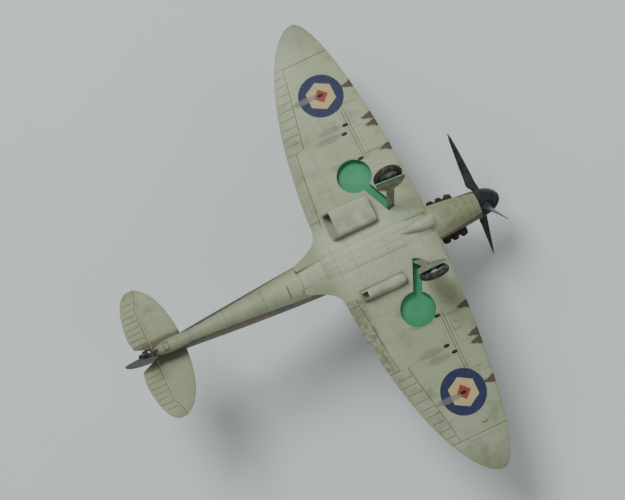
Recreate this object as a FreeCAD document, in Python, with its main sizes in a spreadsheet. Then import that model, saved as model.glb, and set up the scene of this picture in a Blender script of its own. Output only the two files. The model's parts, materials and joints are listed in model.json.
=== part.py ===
import FreeCAD, Part
import Sketcher
import math
import os

# Scale model of a low-wing, single-seat propeller aeroplane, standing on its wheels.
# Everything is laid out in the aeroplane's own datum axes and then stood on the ground:
# +X to the pilot's left (port), +Y aft, +Z up, with the origin at the tip of the spinner
# on the thrust line. STANCE turns and lifts the whole model onto its three wheels.

doc = FreeCAD.newDocument("aeroplane")
sheet = doc.addObject("Spreadsheet::Sheet", "sizes")

SIZES = {
    # wing: two half-ellipses back to back, one for each edge
    "half_span": 77.8, "front_semi": 12.0, "rear_semi": 23.4, "spar_y": 36.1,
    "dihedral": 6.0, "chord_plane_z": -9.75, "root_thickness": 0.128, "tip_thickness": 0.070,
    "camber": 0.016, "skin": 0.75, "wing_root_x": 3.0,
    "fillet_length": 9.5, "fillet_start": 5.0, "fillet_end": 13.5,
    # fuselage shell
    "shell": 0.85, "nose_y": 7.65,
    # tail
    "tail_half_span": 21.5, "tail_line_y": 118.6, "tail_front": 9.7, "tail_rear": 6.5,
    "tail_z": 3.8, "tail_thickness": 0.095, "rudder_hinge_y": 118.3, "rudder_chord": 10.5,
    "fin_chord": 17.0, "fin_top": 21.2, "fin_thickness": 0.085,
    # propeller
    "spinner_length": 6.9, "spinner_radius": 4.35, "spinner_wall": 0.5, "disc_y": 5.5,
    "prop_radius": 24.9, "blade_chord": 3.15, "blade_sweep": 1.2, "blade_lag": 4.7, "shaft_radius": 0.8,
    "running_gap": 0.05, "hub_radius": 2.1, "root_radius": 1.05, "blade_advance": 21.0,
    # main wheels, legs, doors and wells
    "pivot_x": 9.4, "pivot_y": 34.0, "pivot_rise": 0.45, "leg_length": 14.6, "leg_radius": 0.38,
    "splay": 21.4, "rake": 6.5, "wheel_radius": 4.7, "tyre_radius": 1.05, "wheel_offset": 1.5,
    "rim_radius": 2.9, "axle_radius": 0.38, "pin_radius": 0.25, "barrel_radius": 0.55,
    "door_base": 0.1,
    "door_thickness": 0.45, "door_radius": 4.75, "door_half_width": 1.25, "door_edge": 0.7,
    "well_x": 22.85, "well_y": 39.8, "well_radius": 5.45, "slot_half": 1.35,
    "slot_back": 0.85, "well_roof": 0.8, "well_wall": 0.35, "belly_drop": 1.55,
    # tail wheel
    "tail_wheel_y": 121.6, "tail_wheel_z": -4.6, "tail_wheel_radius": 1.7, "tail_tyre": 0.55,
    # under-wing coolers and the intake
    "radiator_x": -11.3, "radiator_half": 4.25, "radiator_front": 39.6, "radiator_back": 54.2,
    "radiator_depth": 3.1, "cooler_x": 12.5, "cooler_half": 1.7, "cooler_front": 39.4,
    "cooler_back": 53.5, "cooler_depth": 2.15, "intake_front": 24.0, "intake_back": 35.0,
    "intake_half": 1.9, "duct_wall": 0.4, "outlet_length": 1.7,
    # cockpit
    "sill_z": 8.1, "cockpit_front": 48.2, "cockpit_back": 60.4, "glass": 0.45,
    "seat_width": 4.4, "seat_depth": 3.6, "seat_height": 4.6, "plate": 0.5,
    # engine exhausts
    "stub_z": 1.4, "stub_height": 0.85, "stub_reach": 2.25, "stub_half_length": 1.75,
    "stub_first_y": 14.9, "stub_pitch": 2.9,
    # spinner backplate, propeller bush and collar
    "backplate_thick": 0.45, "bush_outer": 1.5, "bush_length": 3.2, "flange_outer": 2.2,
    "collar_outer": 1.7, "collar_thick": 0.8,
}
for row, (name, value) in enumerate(SIZES.items(), start=1):
    sheet.set("A%d" % row, name)
    sheet.set("B%d" % row, str(value))
    sheet.setAlias("B%d" % row, name)
doc.recompute()


def size(name):
    """The value of a named cell."""
    return float(sheet.get(name))


def point(x, y, z):
    return FreeCAD.Vector(x, y, z)


SPAN = size("half_span")
SPAR_Y = size("spar_y")
DIHEDRAL = math.radians(size("dihedral"))
PLANE_Z = size("chord_plane_z")
BIG = 400.0


# ---------------------------------------------------------------- shape helpers

def closed_curve(points):
    """A smooth closed wire through the points."""
    curve = Part.BSplineCurve()
    curve.interpolate(Points=points, PeriodicFlag=True)
    return Part.Wire([curve.toShape()])


def loft(wires):
    """A smooth solid through a row of closed wires."""
    return Part.makeLoft(wires, True, False)


def slab(x_low, x_high, y_low, y_high, z_low, z_high):
    """A box between six planes."""
    return Part.makeBox(x_high - x_low, y_high - y_low, z_high - z_low, point(x_low, y_low, z_low))


def mirrored(shape):
    """The same shape on the other side of the aeroplane."""
    return shape.mirror(point(0, 0, 0), point(1, 0, 0))


def rod(radius, start, end):
    """A round bar between two points."""
    along = end - start
    return Part.makeCylinder(radius, along.Length, start, along)


def main_piece(shape):
    """The largest solid of a cut shape, without the slivers beside it."""
    return max(shape.Solids, key=lambda solid: solid.Volume)


# ---------------------------------------------------------------- fuselage lines

# station, half width, top, bottom, height of the widest point, roundness of the top and bottom
FUSELAGE_LINES = [
    (7.65, 4.45, 4.50, -4.75, -0.10, 2.0, 2.15),
    (12.0, 4.85, 5.20, -6.50, -0.40, 2.0, 2.15),
    (16.0, 5.15, 5.70, -8.30, -0.90, 2.0, 2.20),
    (21.0, 5.45, 6.15, -10.00, -1.50, 2.0, 2.60),
    (27.0, 5.75, 6.60, -11.15, -1.90, 2.0, 3.20),
    (35.0, 6.05, 7.20, -11.60, -2.00, 1.95, 4.00),
    (43.0, 6.25, 8.30, -11.50, -1.90, 2.05, 3.50),
    (52.0, 6.25, 10.40, -11.20, -1.60, 2.20, 3.00),
    (61.0, 6.15, 11.30, -10.60, -1.10, 1.95, 2.70),
    (70.0, 5.80, 10.90, -9.10, -0.40, 1.60, 2.40),
    (82.0, 5.00, 9.70, -6.90, 0.60, 1.60, 2.20),
    (95.0, 3.95, 8.50, -4.80, 1.40, 1.70, 2.15),
    (107.0, 2.85, 7.50, -3.20, 2.00, 1.80, 2.15),
    (118.1, 1.50, 6.80, -2.20, 2.40, 1.90, 2.15),
]
SECTION_STEPS = 20


def fuselage_section(station, half_width, top, bottom, middle, crown, keel, inset=0.0):
    """One closed cross-section of the fuselage, drawn in by inset all round."""
    wide = half_width - inset
    points = []
    for step in range(SECTION_STEPS):
        angle = 2 * math.pi * (step + 0.5) / SECTION_STEPS
        power = 2.0 / (crown if math.sin(angle) > 0 else keel)
        across = math.copysign(abs(math.cos(angle)) ** power, math.cos(angle))
        height = abs(math.sin(angle)) ** power
        rise = (top - inset - middle) if math.sin(angle) > 0 else (bottom + inset - middle)
        points.append(point(wide * across, station, middle + rise * height))
    return closed_curve(points)


def fuselage_solid(inset):
    """The fuselage's solid body, drawn in by the thickness of a wall."""
    return loft([fuselage_section(*line, inset=inset) for line in FUSELAGE_LINES])


# ---------------------------------------------------------------- wing lines

def rear_edge(x):
    """The trailing edge's station at a distance x out, without the root fillet."""
    return SPAR_Y + size("rear_semi") * max(0.0, 1.0 - (x / SPAN) ** 1.95) ** 0.56


def wing_edges(x):
    """The leading and trailing edge's stations at a distance x out from the centre."""
    front = SPAR_Y - size("front_semi") * math.sqrt(max(0.0, 1.0 - (x / SPAN) ** 2))
    back = rear_edge(x)
    reach = (size("fillet_end") - x) / (size("fillet_end") - size("fillet_start"))
    if reach > 0:
        back += size("fillet_length") * min(reach, 1.0) ** 3
    return front, back


def aerofoil(x, inset=0.0, nose_trim=0.0, tail_trim=0.0, steps=11):
    """A closed aerofoil section, lying along the chord plane at a distance x out."""
    front, back = wing_edges(x)
    chord = rear_edge(x) - front
    blend = x / SPAN
    thick = size("root_thickness") * (1 - blend) + size("tip_thickness") * blend
    start = front + nose_trim
    end = back - tail_trim
    upper = []
    lower = []
    for step in range(steps + 1):
        fraction = 0.5 * (1 - math.cos(math.pi * step / steps))
        along = start + (end - start) * fraction
        whole = (along - front) / (back - front)
        half = 5 * thick * (0.2969 * math.sqrt(whole) - 0.1260 * whole - 0.3516 * whole ** 2
                            + 0.2843 * whole ** 3 - 0.1036 * whole ** 4) * chord
        rise = 4 * size("camber") * chord * whole * (1 - whole)
        half = max(half - inset, 0.02)
        upper.append(point(x, along, rise + half))
        lower.append(point(x, along, rise - half))
    top = Part.BSplineCurve()
    top.interpolate(upper)
    bottom = Part.BSplineCurve()
    bottom.interpolate(list(reversed(lower)))
    edges = [top.toShape(), Part.makeLine(upper[-1], lower[-1]), bottom.toShape(),
             Part.makeLine(lower[0], upper[0])]
    return Part.Wire(edges)


WING_STATIONS = [0.0, 4.0, 7.0, 10.0, 13.5, 20.0, 30.0, 40.0, 50.0, 58.0,
                 64.5, 69.5, 73.2, 75.8, 77.2, 77.65]
HOLLOW_STATIONS = [0.0, 4.0, 7.0, 10.0, 13.5, 20.0, 30.0, 40.0, 50.0, 56.0]


def to_dihedral(shape):
    """Tilts a shape from the flat chord plane up to the left wing's dihedral."""
    shape = shape.copy()
    shape.rotate(point(0, 0, 0), point(0, 1, 0), -size("dihedral"))
    shape.translate(point(0, 0, PLANE_Z))
    return shape


def flat_wing(stations, **trims):
    return loft([aerofoil(x, **trims) for x in stations])


wing_flat = flat_wing(WING_STATIONS)
hollow_flat = flat_wing(HOLLOW_STATIONS, inset=size("skin"), nose_trim=2.2, tail_trim=5.0)
below = slab(-BIG, BIG, -BIG, BIG, -BIG, 0)
above = slab(-BIG, BIG, -BIG, BIG, 0, BIG)
port_side = slab(0, BIG, -BIG, BIG, -BIG, BIG)


# ---------------------------------------------------------------- wheel wells

def keyhole(grow, low, high):
    """The well's outline, a wheel circle with a slot for the leg, as an upright block."""
    centre = point(size("well_x"), size("well_y"), low)
    hinge = point(size("pivot_x"), size("pivot_y"), low)
    along = centre - hinge
    wide = size("slot_half") + grow
    start = -size("slot_back") - grow
    slot = Part.makeBox(along.Length - start, 2 * wide, high - low, point(start, -wide, 0))
    slot.rotate(point(0, 0, 0), point(0, 0, 1), math.degrees(math.atan2(along.y, along.x)))
    slot.translate(hinge)
    circle = Part.makeCylinder(size("well_radius") + grow, high - low, centre)
    return circle.fuse(slot)


roof = size("well_roof")
wall = size("well_wall")
well_cut_flat = keyhole(0.0, -6.0, roof)
well_flat = keyhole(wall, -6.0, roof + wall).cut(well_cut_flat).common(hollow_flat)
lower_flat = wing_flat.common(below).cut(hollow_flat).cut(keyhole(0.0, -6.0, 0.0))
upper_flat = wing_flat.common(above).cut(hollow_flat)

wing_side = slab(size("wing_root_x"), BIG, -BIG, BIG, -BIG, BIG)
wing_left = to_dihedral(wing_flat).common(wing_side)
wing_right = mirrored(wing_left)
wing_both = wing_left.fuse(wing_right)
lower_left = to_dihedral(lower_flat).common(wing_side)
upper_left = to_dihedral(upper_flat).common(wing_side)
well_left = to_dihedral(well_flat)

# ---------------------------------------------------------------- airframe pieces

shell = size("shell")
nose_y = size("nose_y")
outside = fuselage_solid(0.0)
inside = fuselage_solid(shell).common(
    slab(-BIG, BIG, nose_y + 1.0, size("rudder_hinge_y") - 1.2, -BIG, BIG))
belly_block = slab(-9.0, 9.0, 25.5, 61.0, -BIG, -9.2)
belly = outside.common(belly_block)

canopy_front = size("cockpit_front")
canopy_back = size("cockpit_back")
cockpit_hole = slab(-3.3, 3.3, canopy_front, canopy_back, 4.0, BIG)
sill_cut = slab(-BIG, BIG, canopy_front - 5.0, canopy_back + 8.0, size("sill_z"), BIG)

nose_hole = rod(size("bush_outer"), point(0, nose_y - 1, 0), point(0, nose_y + 4, 0))


def fin_section(z):
    """Fin and rudder outline at one height: stations of the leading and trailing edges."""
    low = 4.5
    hinge = size("rudder_hinge_y")
    up = min(1.0, max(0.0, z - low) / (size("fin_top") - low))
    down = min(1.0, max(0.0, low - z) / 7.4)
    front = hinge - size("fin_chord") * math.sqrt(max(0.0, 1 - up ** 2.1))
    back = hinge + size("rudder_chord") * math.sqrt(max(0.0, 1 - max(up, down) ** 2.2))
    return front, back


def upright_aerofoil(z, steps=8):
    """A symmetrical fin section lying level at the height z."""
    front, back = fin_section(z)
    chord = back - front
    thick = size("fin_thickness") * min(chord, 22.0)
    right = []
    left = []
    for step in range(steps + 1):
        whole = 0.5 * (1 - math.cos(math.pi * step / steps))
        half = 5 * thick * (0.2969 * math.sqrt(whole) - 0.1260 * whole - 0.3516 * whole ** 2
                            + 0.2843 * whole ** 3 - 0.1036 * whole ** 4)
        half = max(half, 0.06)
        right.append(point(half, front + chord * whole, z))
        left.append(point(-half, front + chord * whole, z))
    first = Part.BSplineCurve()
    first.interpolate(right)
    second = Part.BSplineCurve()
    second.interpolate(list(reversed(left)))
    return Part.Wire([first.toShape(), Part.makeLine(right[-1], left[-1]), second.toShape(),
                      Part.makeLine(left[0], right[0])])


FIN_HEIGHTS = [-2.1, -1.4, 0.0, 2.5, 5.0, 8.0, 11.0, 14.0, 16.5, 18.6, 20.0, 20.8, 21.1]
tail_upright = loft([upright_aerofoil(z) for z in FIN_HEIGHTS])
rudder_hinge = size("rudder_hinge_y")
fin_half = tail_upright.common(slab(0, BIG, -BIG, rudder_hinge, 4.0, BIG))
rudder = tail_upright.common(slab(-BIG, BIG, rudder_hinge, BIG, -BIG, BIG))


def tail_section(x, steps=8):
    """A symmetrical tailplane section at a distance x out from the centre."""
    half_span = size("tail_half_span")
    front = size("tail_line_y") - size("tail_front") * math.sqrt(max(0.0, 1 - (x / half_span) ** 2.15))
    back = size("tail_line_y") + size("tail_rear") * math.sqrt(max(0.0, 1 - (x / half_span) ** 3))
    back -= 2.5 * max(0.0, 1 - x / 9.0) ** 2
    chord = back - front
    upper = []
    lower = []
    for step in range(steps + 1):
        whole = 0.5 * (1 - math.cos(math.pi * step / steps))
        half = 5 * size("tail_thickness") * chord * (
            0.2969 * math.sqrt(whole) - 0.1260 * whole - 0.3516 * whole ** 2
            + 0.2843 * whole ** 3 - 0.1036 * whole ** 4)
        half = max(half, 0.06)
        upper.append(point(x, front + chord * whole, size("tail_z") + half))
        lower.append(point(x, front + chord * whole, size("tail_z") - half))
    top = Part.BSplineCurve()
    top.interpolate(upper)
    bottom = Part.BSplineCurve()
    bottom.interpolate(list(reversed(lower)))
    return Part.Wire([top.toShape(), Part.makeLine(upper[-1], lower[-1]), bottom.toShape(),
                      Part.makeLine(lower[0], upper[0])])


TAIL_STATIONS = [0.0, 3.0, 6.5, 10.0, 13.5, 16.5, 18.8, 20.2, 21.0, 21.35]
tailplane_flat = loft([tail_section(x) for x in TAIL_STATIONS])
corner = [point(1.4, rudder_hinge + 0.2, -BIG), point(4.6, 126.5, -BIG), point(-1, 126.5, -BIG),
          point(-1, rudder_hinge + 0.2, -BIG)]
rudder_room = Part.Face(Part.makePolygon(corner + corner[:1])).extrude(point(0, 0, 2 * BIG))

fuselage_shell = outside.cut(inside).cut(wing_both).cut(belly_block).cut(cockpit_hole)
fuselage_shell = fuselage_shell.cut(sill_cut).cut(nose_hole)
fin_foot = fin_half.cut(outside)
fuselage_left = main_piece(fuselage_shell.common(port_side).fuse(fin_foot).cut(tailplane_flat))
tailplane_left = tailplane_flat.cut(inside).cut(rudder_room).cut(fin_half)
tailplane_left = tailplane_left.common(slab(1.0, BIG, -BIG, BIG, -BIG, BIG))

keyhole_left = to_dihedral(keyhole(0.0, -6.0, roof))
upper_wing_left = main_piece(upper_left.cut(inside).cut(belly_block))
lower_left = lower_left.cut(inside).cut(keyhole_left)
wing_lower = belly.cut(inside).cut([upper_wing_left, mirrored(upper_wing_left)])
wing_lower = main_piece(wing_lower.fuse([lower_left, mirrored(lower_left)]))

# ---------------------------------------------------------------- document objects

pieces = {}
places = {}
UPRIGHT = FreeCAD.Placement()


def keep(name, shape):
    """Stores a finished shape as a sub-part of its own."""
    piece = doc.addObject("Part::Feature", name)
    piece.Label = name
    piece.Shape = shape
    pieces[name] = piece
    places[name] = UPRIGHT
    return piece


def keep_object(name, piece, place=UPRIGHT):
    """Registers a parametric object as a sub-part, with its place on the aeroplane."""
    piece.Label = name
    pieces[name] = piece
    places[name] = place
    return piece


def facing(origin, along):
    """A placement that puts local Z along a direction."""
    return FreeCAD.Placement(origin, FreeCAD.Rotation(point(0, 0, 1), along))


def origin_plane(body, role):
    """One of a body's own origin planes."""
    return next(item for item in body.Origin.OriginFeatures if item.Role == role)


def new_sketch(body, name, role):
    """A sketch on one of its body's origin planes."""
    sketch = body.newObject("Sketcher::SketchObject", name)
    sketch.AttachmentSupport = [(origin_plane(body, role), "")]
    sketch.MapMode = "FlatFace"
    return sketch


def outline(sketch, corners):
    """A closed outline of straight edges, each corner given by two expressions."""
    count = len(corners)
    ring = [point(9 * math.cos(2 * math.pi * k / count), 9 * math.sin(2 * math.pi * k / count), 0)
            for k in range(count)]
    for k in range(count):
        sketch.addGeometry(Part.LineSegment(ring[k], ring[(k + 1) % count]), False)
    for k in range(count):
        sketch.addConstraint(Sketcher.Constraint("Coincident", k, 2, (k + 1) % count, 1))
    for k, corner in enumerate(corners):
        ways = (("DistanceX", ring[k].x, corner[0]), ("DistanceY", ring[k].y, corner[1]))
        for kind, start, rule in ways:
            index = sketch.addConstraint(Sketcher.Constraint(kind, -1, 1, k, 1, start))
            sketch.setExpression("Constraints[%d]" % index, rule)


def turned_body(name, corners, place):
    """A body turned about its local Z from a profile of radius and height."""
    body = doc.addObject("PartDesign::Body", name)
    sketch = new_sketch(body, name + "_profile", "XZ_Plane")
    outline(sketch, corners)
    turn = body.newObject("PartDesign::Revolution", name + "_turn")
    turn.Profile = sketch
    turn.ReferenceAxis = (sketch, ["V_Axis"])
    turn.Angle = 360
    body.Tip = turn
    return keep_object(name, body, place)


def padded_body(name, corners, thickness, place, role="XY_Plane"):
    """A body made by padding an outline."""
    body = doc.addObject("PartDesign::Body", name)
    sketch = new_sketch(body, name + "_outline", role)
    outline(sketch, corners)
    pad = body.newObject("PartDesign::Pad", name + "_pad")
    pad.Profile = sketch
    pad.setExpression("Length", thickness)
    body.Tip = pad
    return keep_object(name, body, place)


keep("fuselage_left", fuselage_left)
keep("fuselage_right", mirrored(fuselage_left))
keep("wing_lower", wing_lower)
keep("wing_upper_left", upper_wing_left)
keep("wing_upper_right", mirrored(upper_wing_left))
well_piece = main_piece(well_left.cut(upper_wing_left).cut(outside))
keep("wheel_well_left", well_piece)
keep("wheel_well_right", mirrored(well_piece))
keep("tailplane_left", main_piece(tailplane_left))
keep("tailplane_right", mirrored(main_piece(tailplane_left)))
keep("rudder", main_piece(rudder))


# ---------------------------------------------------------------- propeller

disc_y = size("disc_y")
spinner_base = size("spinner_length")
ROOT = size("root_radius")
PROP_RADIUS = size("prop_radius")
HUB_FRONT = 3.4
SHAFT_FRONT = 3.6
ROOT_END = 4.0
ROOT_BLEND = 2.6
BLADE_THICK = 0.62
ROOT_CLEARANCE = 0.2


def blade_section(radius):
    """A blade's closed section at one radius, from a round root to a thin tip."""
    grow = min(1.0, max(0.0, (radius - ROOT_END) / ROOT_BLEND))
    near_tip = max(0.0, (radius - 0.22 * PROP_RADIUS) / (0.78 * PROP_RADIUS))
    taper = math.sqrt(max(0.02, 1 - near_tip ** 1.3))
    chord = (2 * ROOT * (1 - grow) + size("blade_chord") * grow) * taper
    middle = disc_y + size("blade_sweep") * grow * (1 - radius / PROP_RADIUS)
    thick = 2 * ROOT * (1 - grow) + BLADE_THICK * grow * (1 - 0.45 * near_tip)
    pitch = math.atan2(size("blade_advance"), radius)
    front = []
    back = []
    for step in range(9):
        along = -math.cos(math.pi * step / 8)
        across = 0.5 * chord * along
        deep = 0.5 * thick * math.sqrt(max(0.004, 1 - along ** 2))
        for side, row_of_points in ((-1, front), (1, back)):
            row_of_points.append(point(
                across * math.cos(pitch) - side * deep * math.sin(pitch),
                middle + across * math.sin(pitch) + side * deep * math.cos(pitch), radius))
    first = Part.BSplineCurve()
    first.interpolate(front)
    second = Part.BSplineCurve()
    second.interpolate(list(reversed(back)))
    return Part.Wire([first.toShape(), Part.makeLine(front[-1], back[-1]), second.toShape(),
                      Part.makeLine(back[0], front[0])])


BLADE_RADII = [1.0, 4.0, 5.3, 6.6, 9.0, 12.0, 16.0, 19.5, 22.0, 23.6, 24.4, PROP_RADIUS]
blade = loft([blade_section(radius) for radius in BLADE_RADII])
if blade.Volume < 0:
    blade.reverse()
first_angle = -90.0 + size("blade_lag")
thrust = point(0, 1, 0)
hub = rod(size("hub_radius"), point(0, HUB_FRONT, 0), point(0, spinner_base - 0.1, 0))
shaft_bore = rod(size("shaft_radius"), point(0, 0, 0), point(0, 20, 0))
blades = []
root_holes = []
for number in range(3):
    turned = blade.copy()
    turned.rotate(point(0, 0, 0), thrust, first_angle + 120 * number)
    blades.append(turned)
    hole = rod(ROOT + ROOT_CLEARANCE, point(0, disc_y, 2.5), point(0, disc_y, 6.5))
    hole.rotate(point(0, 0, 0), thrust, first_angle + 120 * number)
    root_holes.append(hole)
keep("propeller", main_piece(hub.fuse(blades).cut(shaft_bore)))

spinner_skin = doc.addObject("Part::Ellipsoid", "spinner_skin")
spinner_room = doc.addObject("Part::Ellipsoid", "spinner_room")
for cone, inset in ((spinner_skin, ""), (spinner_room, " - sizes.spinner_wall")):
    cone.setExpression("Radius1", "sizes.spinner_length" + inset)
    cone.setExpression("Radius2", "sizes.spinner_radius" + inset)
    cone.Angle1 = 0
    cone.Angle2 = 90
spinner_cups = doc.addObject("Part::Cut", "spinner_cup")
spinner_cups.Base = spinner_skin
spinner_cups.Tool = spinner_room
holes = doc.addObject("Part::Feature", "spinner_holes")
holes_shape = Part.makeCompound(root_holes)
cup_place = facing(point(0, spinner_base, 0), point(0, -1, 0))
holes_shape.transformShape(cup_place.inverse().toMatrix())
holes.Shape = holes_shape
spinner = doc.addObject("Part::Cut", "spinner_cut")
spinner.Base = spinner_cups
spinner.Tool = holes
keep_object("spinner", spinner, cup_place)

turned_body("spinner_backplate", [
    ("sizes.shaft_radius", "0"), ("sizes.spinner_radius", "0"),
    ("sizes.spinner_radius", "sizes.backplate_thick"), ("sizes.shaft_radius", "sizes.backplate_thick")],
    facing(point(0, spinner_base, 0), thrust))
turned_body("prop_bush", [
    ("sizes.shaft_radius + sizes.running_gap", "0"), ("sizes.flange_outer", "0"),
    ("sizes.flange_outer", "0.2"), ("sizes.bush_outer", "0.2"),
    ("sizes.bush_outer", "sizes.bush_length"),
    ("sizes.shaft_radius + sizes.running_gap", "sizes.bush_length")],
    facing(point(0, nose_y - 0.2, 0), thrust))
collar_y = nose_y - 0.2 + size("bush_length") + 0.2
turned_body("prop_collar", [
    ("sizes.shaft_radius", "0"), ("sizes.collar_outer", "0"),
    ("sizes.collar_outer", "sizes.collar_thick"), ("sizes.shaft_radius", "sizes.collar_thick")],
    facing(point(0, collar_y, 0), thrust))
shaft = doc.addObject("Part::Cylinder", "prop_shaft")
shaft.setExpression("Radius", "sizes.shaft_radius")
shaft.Height = collar_y + size("collar_thick") - SHAFT_FRONT
keep_object("prop_shaft", shaft, facing(point(0, SHAFT_FRONT, 0), thrust))


# ---------------------------------------------------------------- main landing gear

def unit(x, y, z):
    return point(x, y, z).normalize()


down_leg = unit(math.tan(math.radians(size("splay"))), -math.tan(math.radians(size("rake"))), -1.0)
inboard = unit(down_leg.z, 0.0, -down_leg.x)
pivot = point(size("pivot_x"), size("pivot_y"), 0)
pivot.z = PLANE_Z + size("pivot_x") * math.tan(DIHEDRAL) - size("belly_drop") + size("pivot_rise")
to_well = unit(size("well_x") - size("pivot_x"), size("well_y") - size("pivot_y"), 0)
tilt = FreeCAD.Rotation(point(0, 1, 0), -size("dihedral"))
folded_leg = tilt.multVec(to_well)
folded_door = tilt.multVec(point(0, 0, -1))
legs_down = FreeCAD.Rotation(down_leg, inboard, down_leg.cross(inboard), "XYZ")
legs_up = FreeCAD.Rotation(folded_leg, folded_door, folded_leg.cross(folded_door), "XYZ")
fold = legs_up.multiply(legs_down.inverted())
fold_axis = fold.Axis
fold_angle = math.degrees(fold.Angle)
if fold_angle > 180:
    fold_angle = 360 - fold_angle
    fold_axis = fold_axis * -1.0

axle_end = pivot + down_leg * size("leg_length")
wheel_centre = axle_end - inboard * size("wheel_offset")
barrel_half = 0.85 * size("slot_half")
barrel = rod(size("barrel_radius"), pivot - fold_axis * barrel_half, pivot + fold_axis * barrel_half)
pin_reach = 2.4 * size("slot_half")
hinge_pin = rod(size("pin_radius"), pivot - fold_axis * pin_reach, pivot + fold_axis * pin_reach)
pin_bore = rod(size("pin_radius") + size("running_gap"), pivot - fold_axis * pin_reach,
               pivot + fold_axis * pin_reach)
leg_top = rod(1.3 * size("leg_radius"), pivot, pivot + down_leg * (0.5 * size("leg_length")))
leg_low = rod(size("leg_radius"), pivot, axle_end)
knuckle = Part.makeSphere(1.3 * size("leg_radius"), axle_end)
stub_axle = rod(size("axle_radius"), axle_end, wheel_centre - inboard * 0.7)
hinge_pin = hinge_pin.common(keyhole_left)

# the door: a plate beside the leg with a half-round apron over the wheel, X down the leg
apron = Part.makeCylinder(size("door_radius"), size("door_thickness"), point(size("leg_length"), 0, 0))
apron = apron.common(slab(-BIG, size("leg_length") + size("door_edge"), -BIG, BIG, -BIG, BIG))
leg_cover = Part.makeBox(size("leg_length") - 2.0, 2 * size("door_half_width"), size("door_thickness"),
                         point(1.2, -size("door_half_width"), 0))
door = apron.fuse(leg_cover).removeSplitter()
door_place = FreeCAD.Placement(pivot + inboard * size("door_base"), FreeCAD.Rotation(
    down_leg, inboard.cross(down_leg), inboard, "XZY"))
door = door.transformGeometry(door_place.toMatrix())
leg_left = main_piece(barrel.fuse([leg_top, leg_low, knuckle, stub_axle]).cut([pin_bore, door]))
keep("gear_leg_left", leg_left)
keep("gear_leg_right", mirrored(leg_left))
keep("gear_pin_left", hinge_pin)
keep("gear_pin_right", mirrored(hinge_pin))
keep("gear_door_left", door)
keep("gear_door_right", mirrored(door))


def mirror_vector(vector):
    return point(-vector.x, vector.y, vector.z)


def wheel(side, centre, axle):
    """A tyre and the hub inside it, turning about the axle."""
    place = facing(centre, axle)
    tyre = doc.addObject("PartDesign::Body", "tyre_" + side)
    sketch = new_sketch(tyre, "tyre_section_" + side, "XZ_Plane")
    start = size("wheel_radius") - size("tyre_radius")
    sketch.addGeometry(Part.Circle(point(start, 0, 0), point(0, 0, 1), size("tyre_radius")), False)
    sketch.addConstraint(Sketcher.Constraint("PointOnObject", 0, 3, -1))
    index = sketch.addConstraint(Sketcher.Constraint("DistanceX", -1, 1, 0, 3, start))
    sketch.setExpression("Constraints[%d]" % index, "sizes.wheel_radius - sizes.tyre_radius")
    index = sketch.addConstraint(Sketcher.Constraint("Radius", 0, size("tyre_radius")))
    sketch.setExpression("Constraints[%d]" % index, "sizes.tyre_radius")
    turn = tyre.newObject("PartDesign::Revolution", "tyre_turn_" + side)
    turn.Profile = sketch
    turn.ReferenceAxis = (sketch, ["V_Axis"])
    seat_sketch = new_sketch(tyre, "tyre_seat_" + side, "XZ_Plane")
    outline(seat_sketch, [("0", "-2"), ("sizes.rim_radius", "-2"),
                          ("sizes.rim_radius", "2"), ("0", "2")])
    seat = tyre.newObject("PartDesign::Groove", "tyre_bore_" + side)
    seat.Profile = seat_sketch
    seat.ReferenceAxis = (seat_sketch, ["V_Axis"])
    tyre.Tip = seat
    keep_object("tyre_" + side, tyre, place)
    turned_body("wheel_hub_" + side, [
        ("sizes.axle_radius + sizes.running_gap", "-0.75"), ("0.9", "-0.75"),
        ("1.2", "-0.45"), ("2.4", "-0.45"), ("sizes.rim_radius", "-0.6"),
        ("sizes.rim_radius", "0.6"), ("2.4", "0.45"), ("1.2", "0.45"),
        ("0.9", "0.85"), ("sizes.axle_radius + sizes.running_gap", "0.85")], place)


wheel("left", wheel_centre, inboard)
wheel("right", mirror_vector(wheel_centre), mirror_vector(inboard))


# ---------------------------------------------------------------- tail wheel

STRUT_GAP = 0.09
tail_centre = point(0, size("tail_wheel_y"), size("tail_wheel_z"))
across = point(1, 0, 0)
strut_top = point(0, size("tail_wheel_y") - 4.8, -1.9)
fork_gap = size("tail_tyre") + 0.12
fork_top = tail_centre + point(0, -2.45, 0.85)
arms = [rod(0.3, point(side * (fork_gap + 0.3), 0, 0) + tail_centre,
            point(side * (fork_gap + 0.3), 0, 0) + fork_top) for side in (-1, 1)]
bridge = rod(0.32, fork_top - across * (fork_gap + 0.3), fork_top + across * (fork_gap + 0.3))
tail_axle = rod(0.28, tail_centre - across * (fork_gap + 0.3), tail_centre + across * (fork_gap + 0.3))
strut = rod(0.45, strut_top, fork_top)
skin_above_strut = outside.copy()
skin_above_strut.translate(point(0, 0, -STRUT_GAP))
tail_leg = strut.fuse(arms + [bridge, tail_axle]).cut([outside, skin_above_strut])
keep("tail_wheel_leg", main_piece(tail_leg))
turned_body("tail_tyre", [
    ("0.9", "-sizes.tail_tyre"), ("sizes.tail_wheel_radius - 0.25", "-sizes.tail_tyre"),
    ("sizes.tail_wheel_radius", "-0.45 * sizes.tail_tyre"),
    ("sizes.tail_wheel_radius", "0.45 * sizes.tail_tyre"),
    ("sizes.tail_wheel_radius - 0.25", "sizes.tail_tyre"), ("0.9", "sizes.tail_tyre")],
    facing(tail_centre, across))
turned_body("tail_hub", [
    ("0.33", "-0.5"), ("0.9", "-0.4"), ("0.9", "0.4"), ("0.33", "0.5")],
    facing(tail_centre, across))


# ---------------------------------------------------------------- coolers and intake

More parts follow.
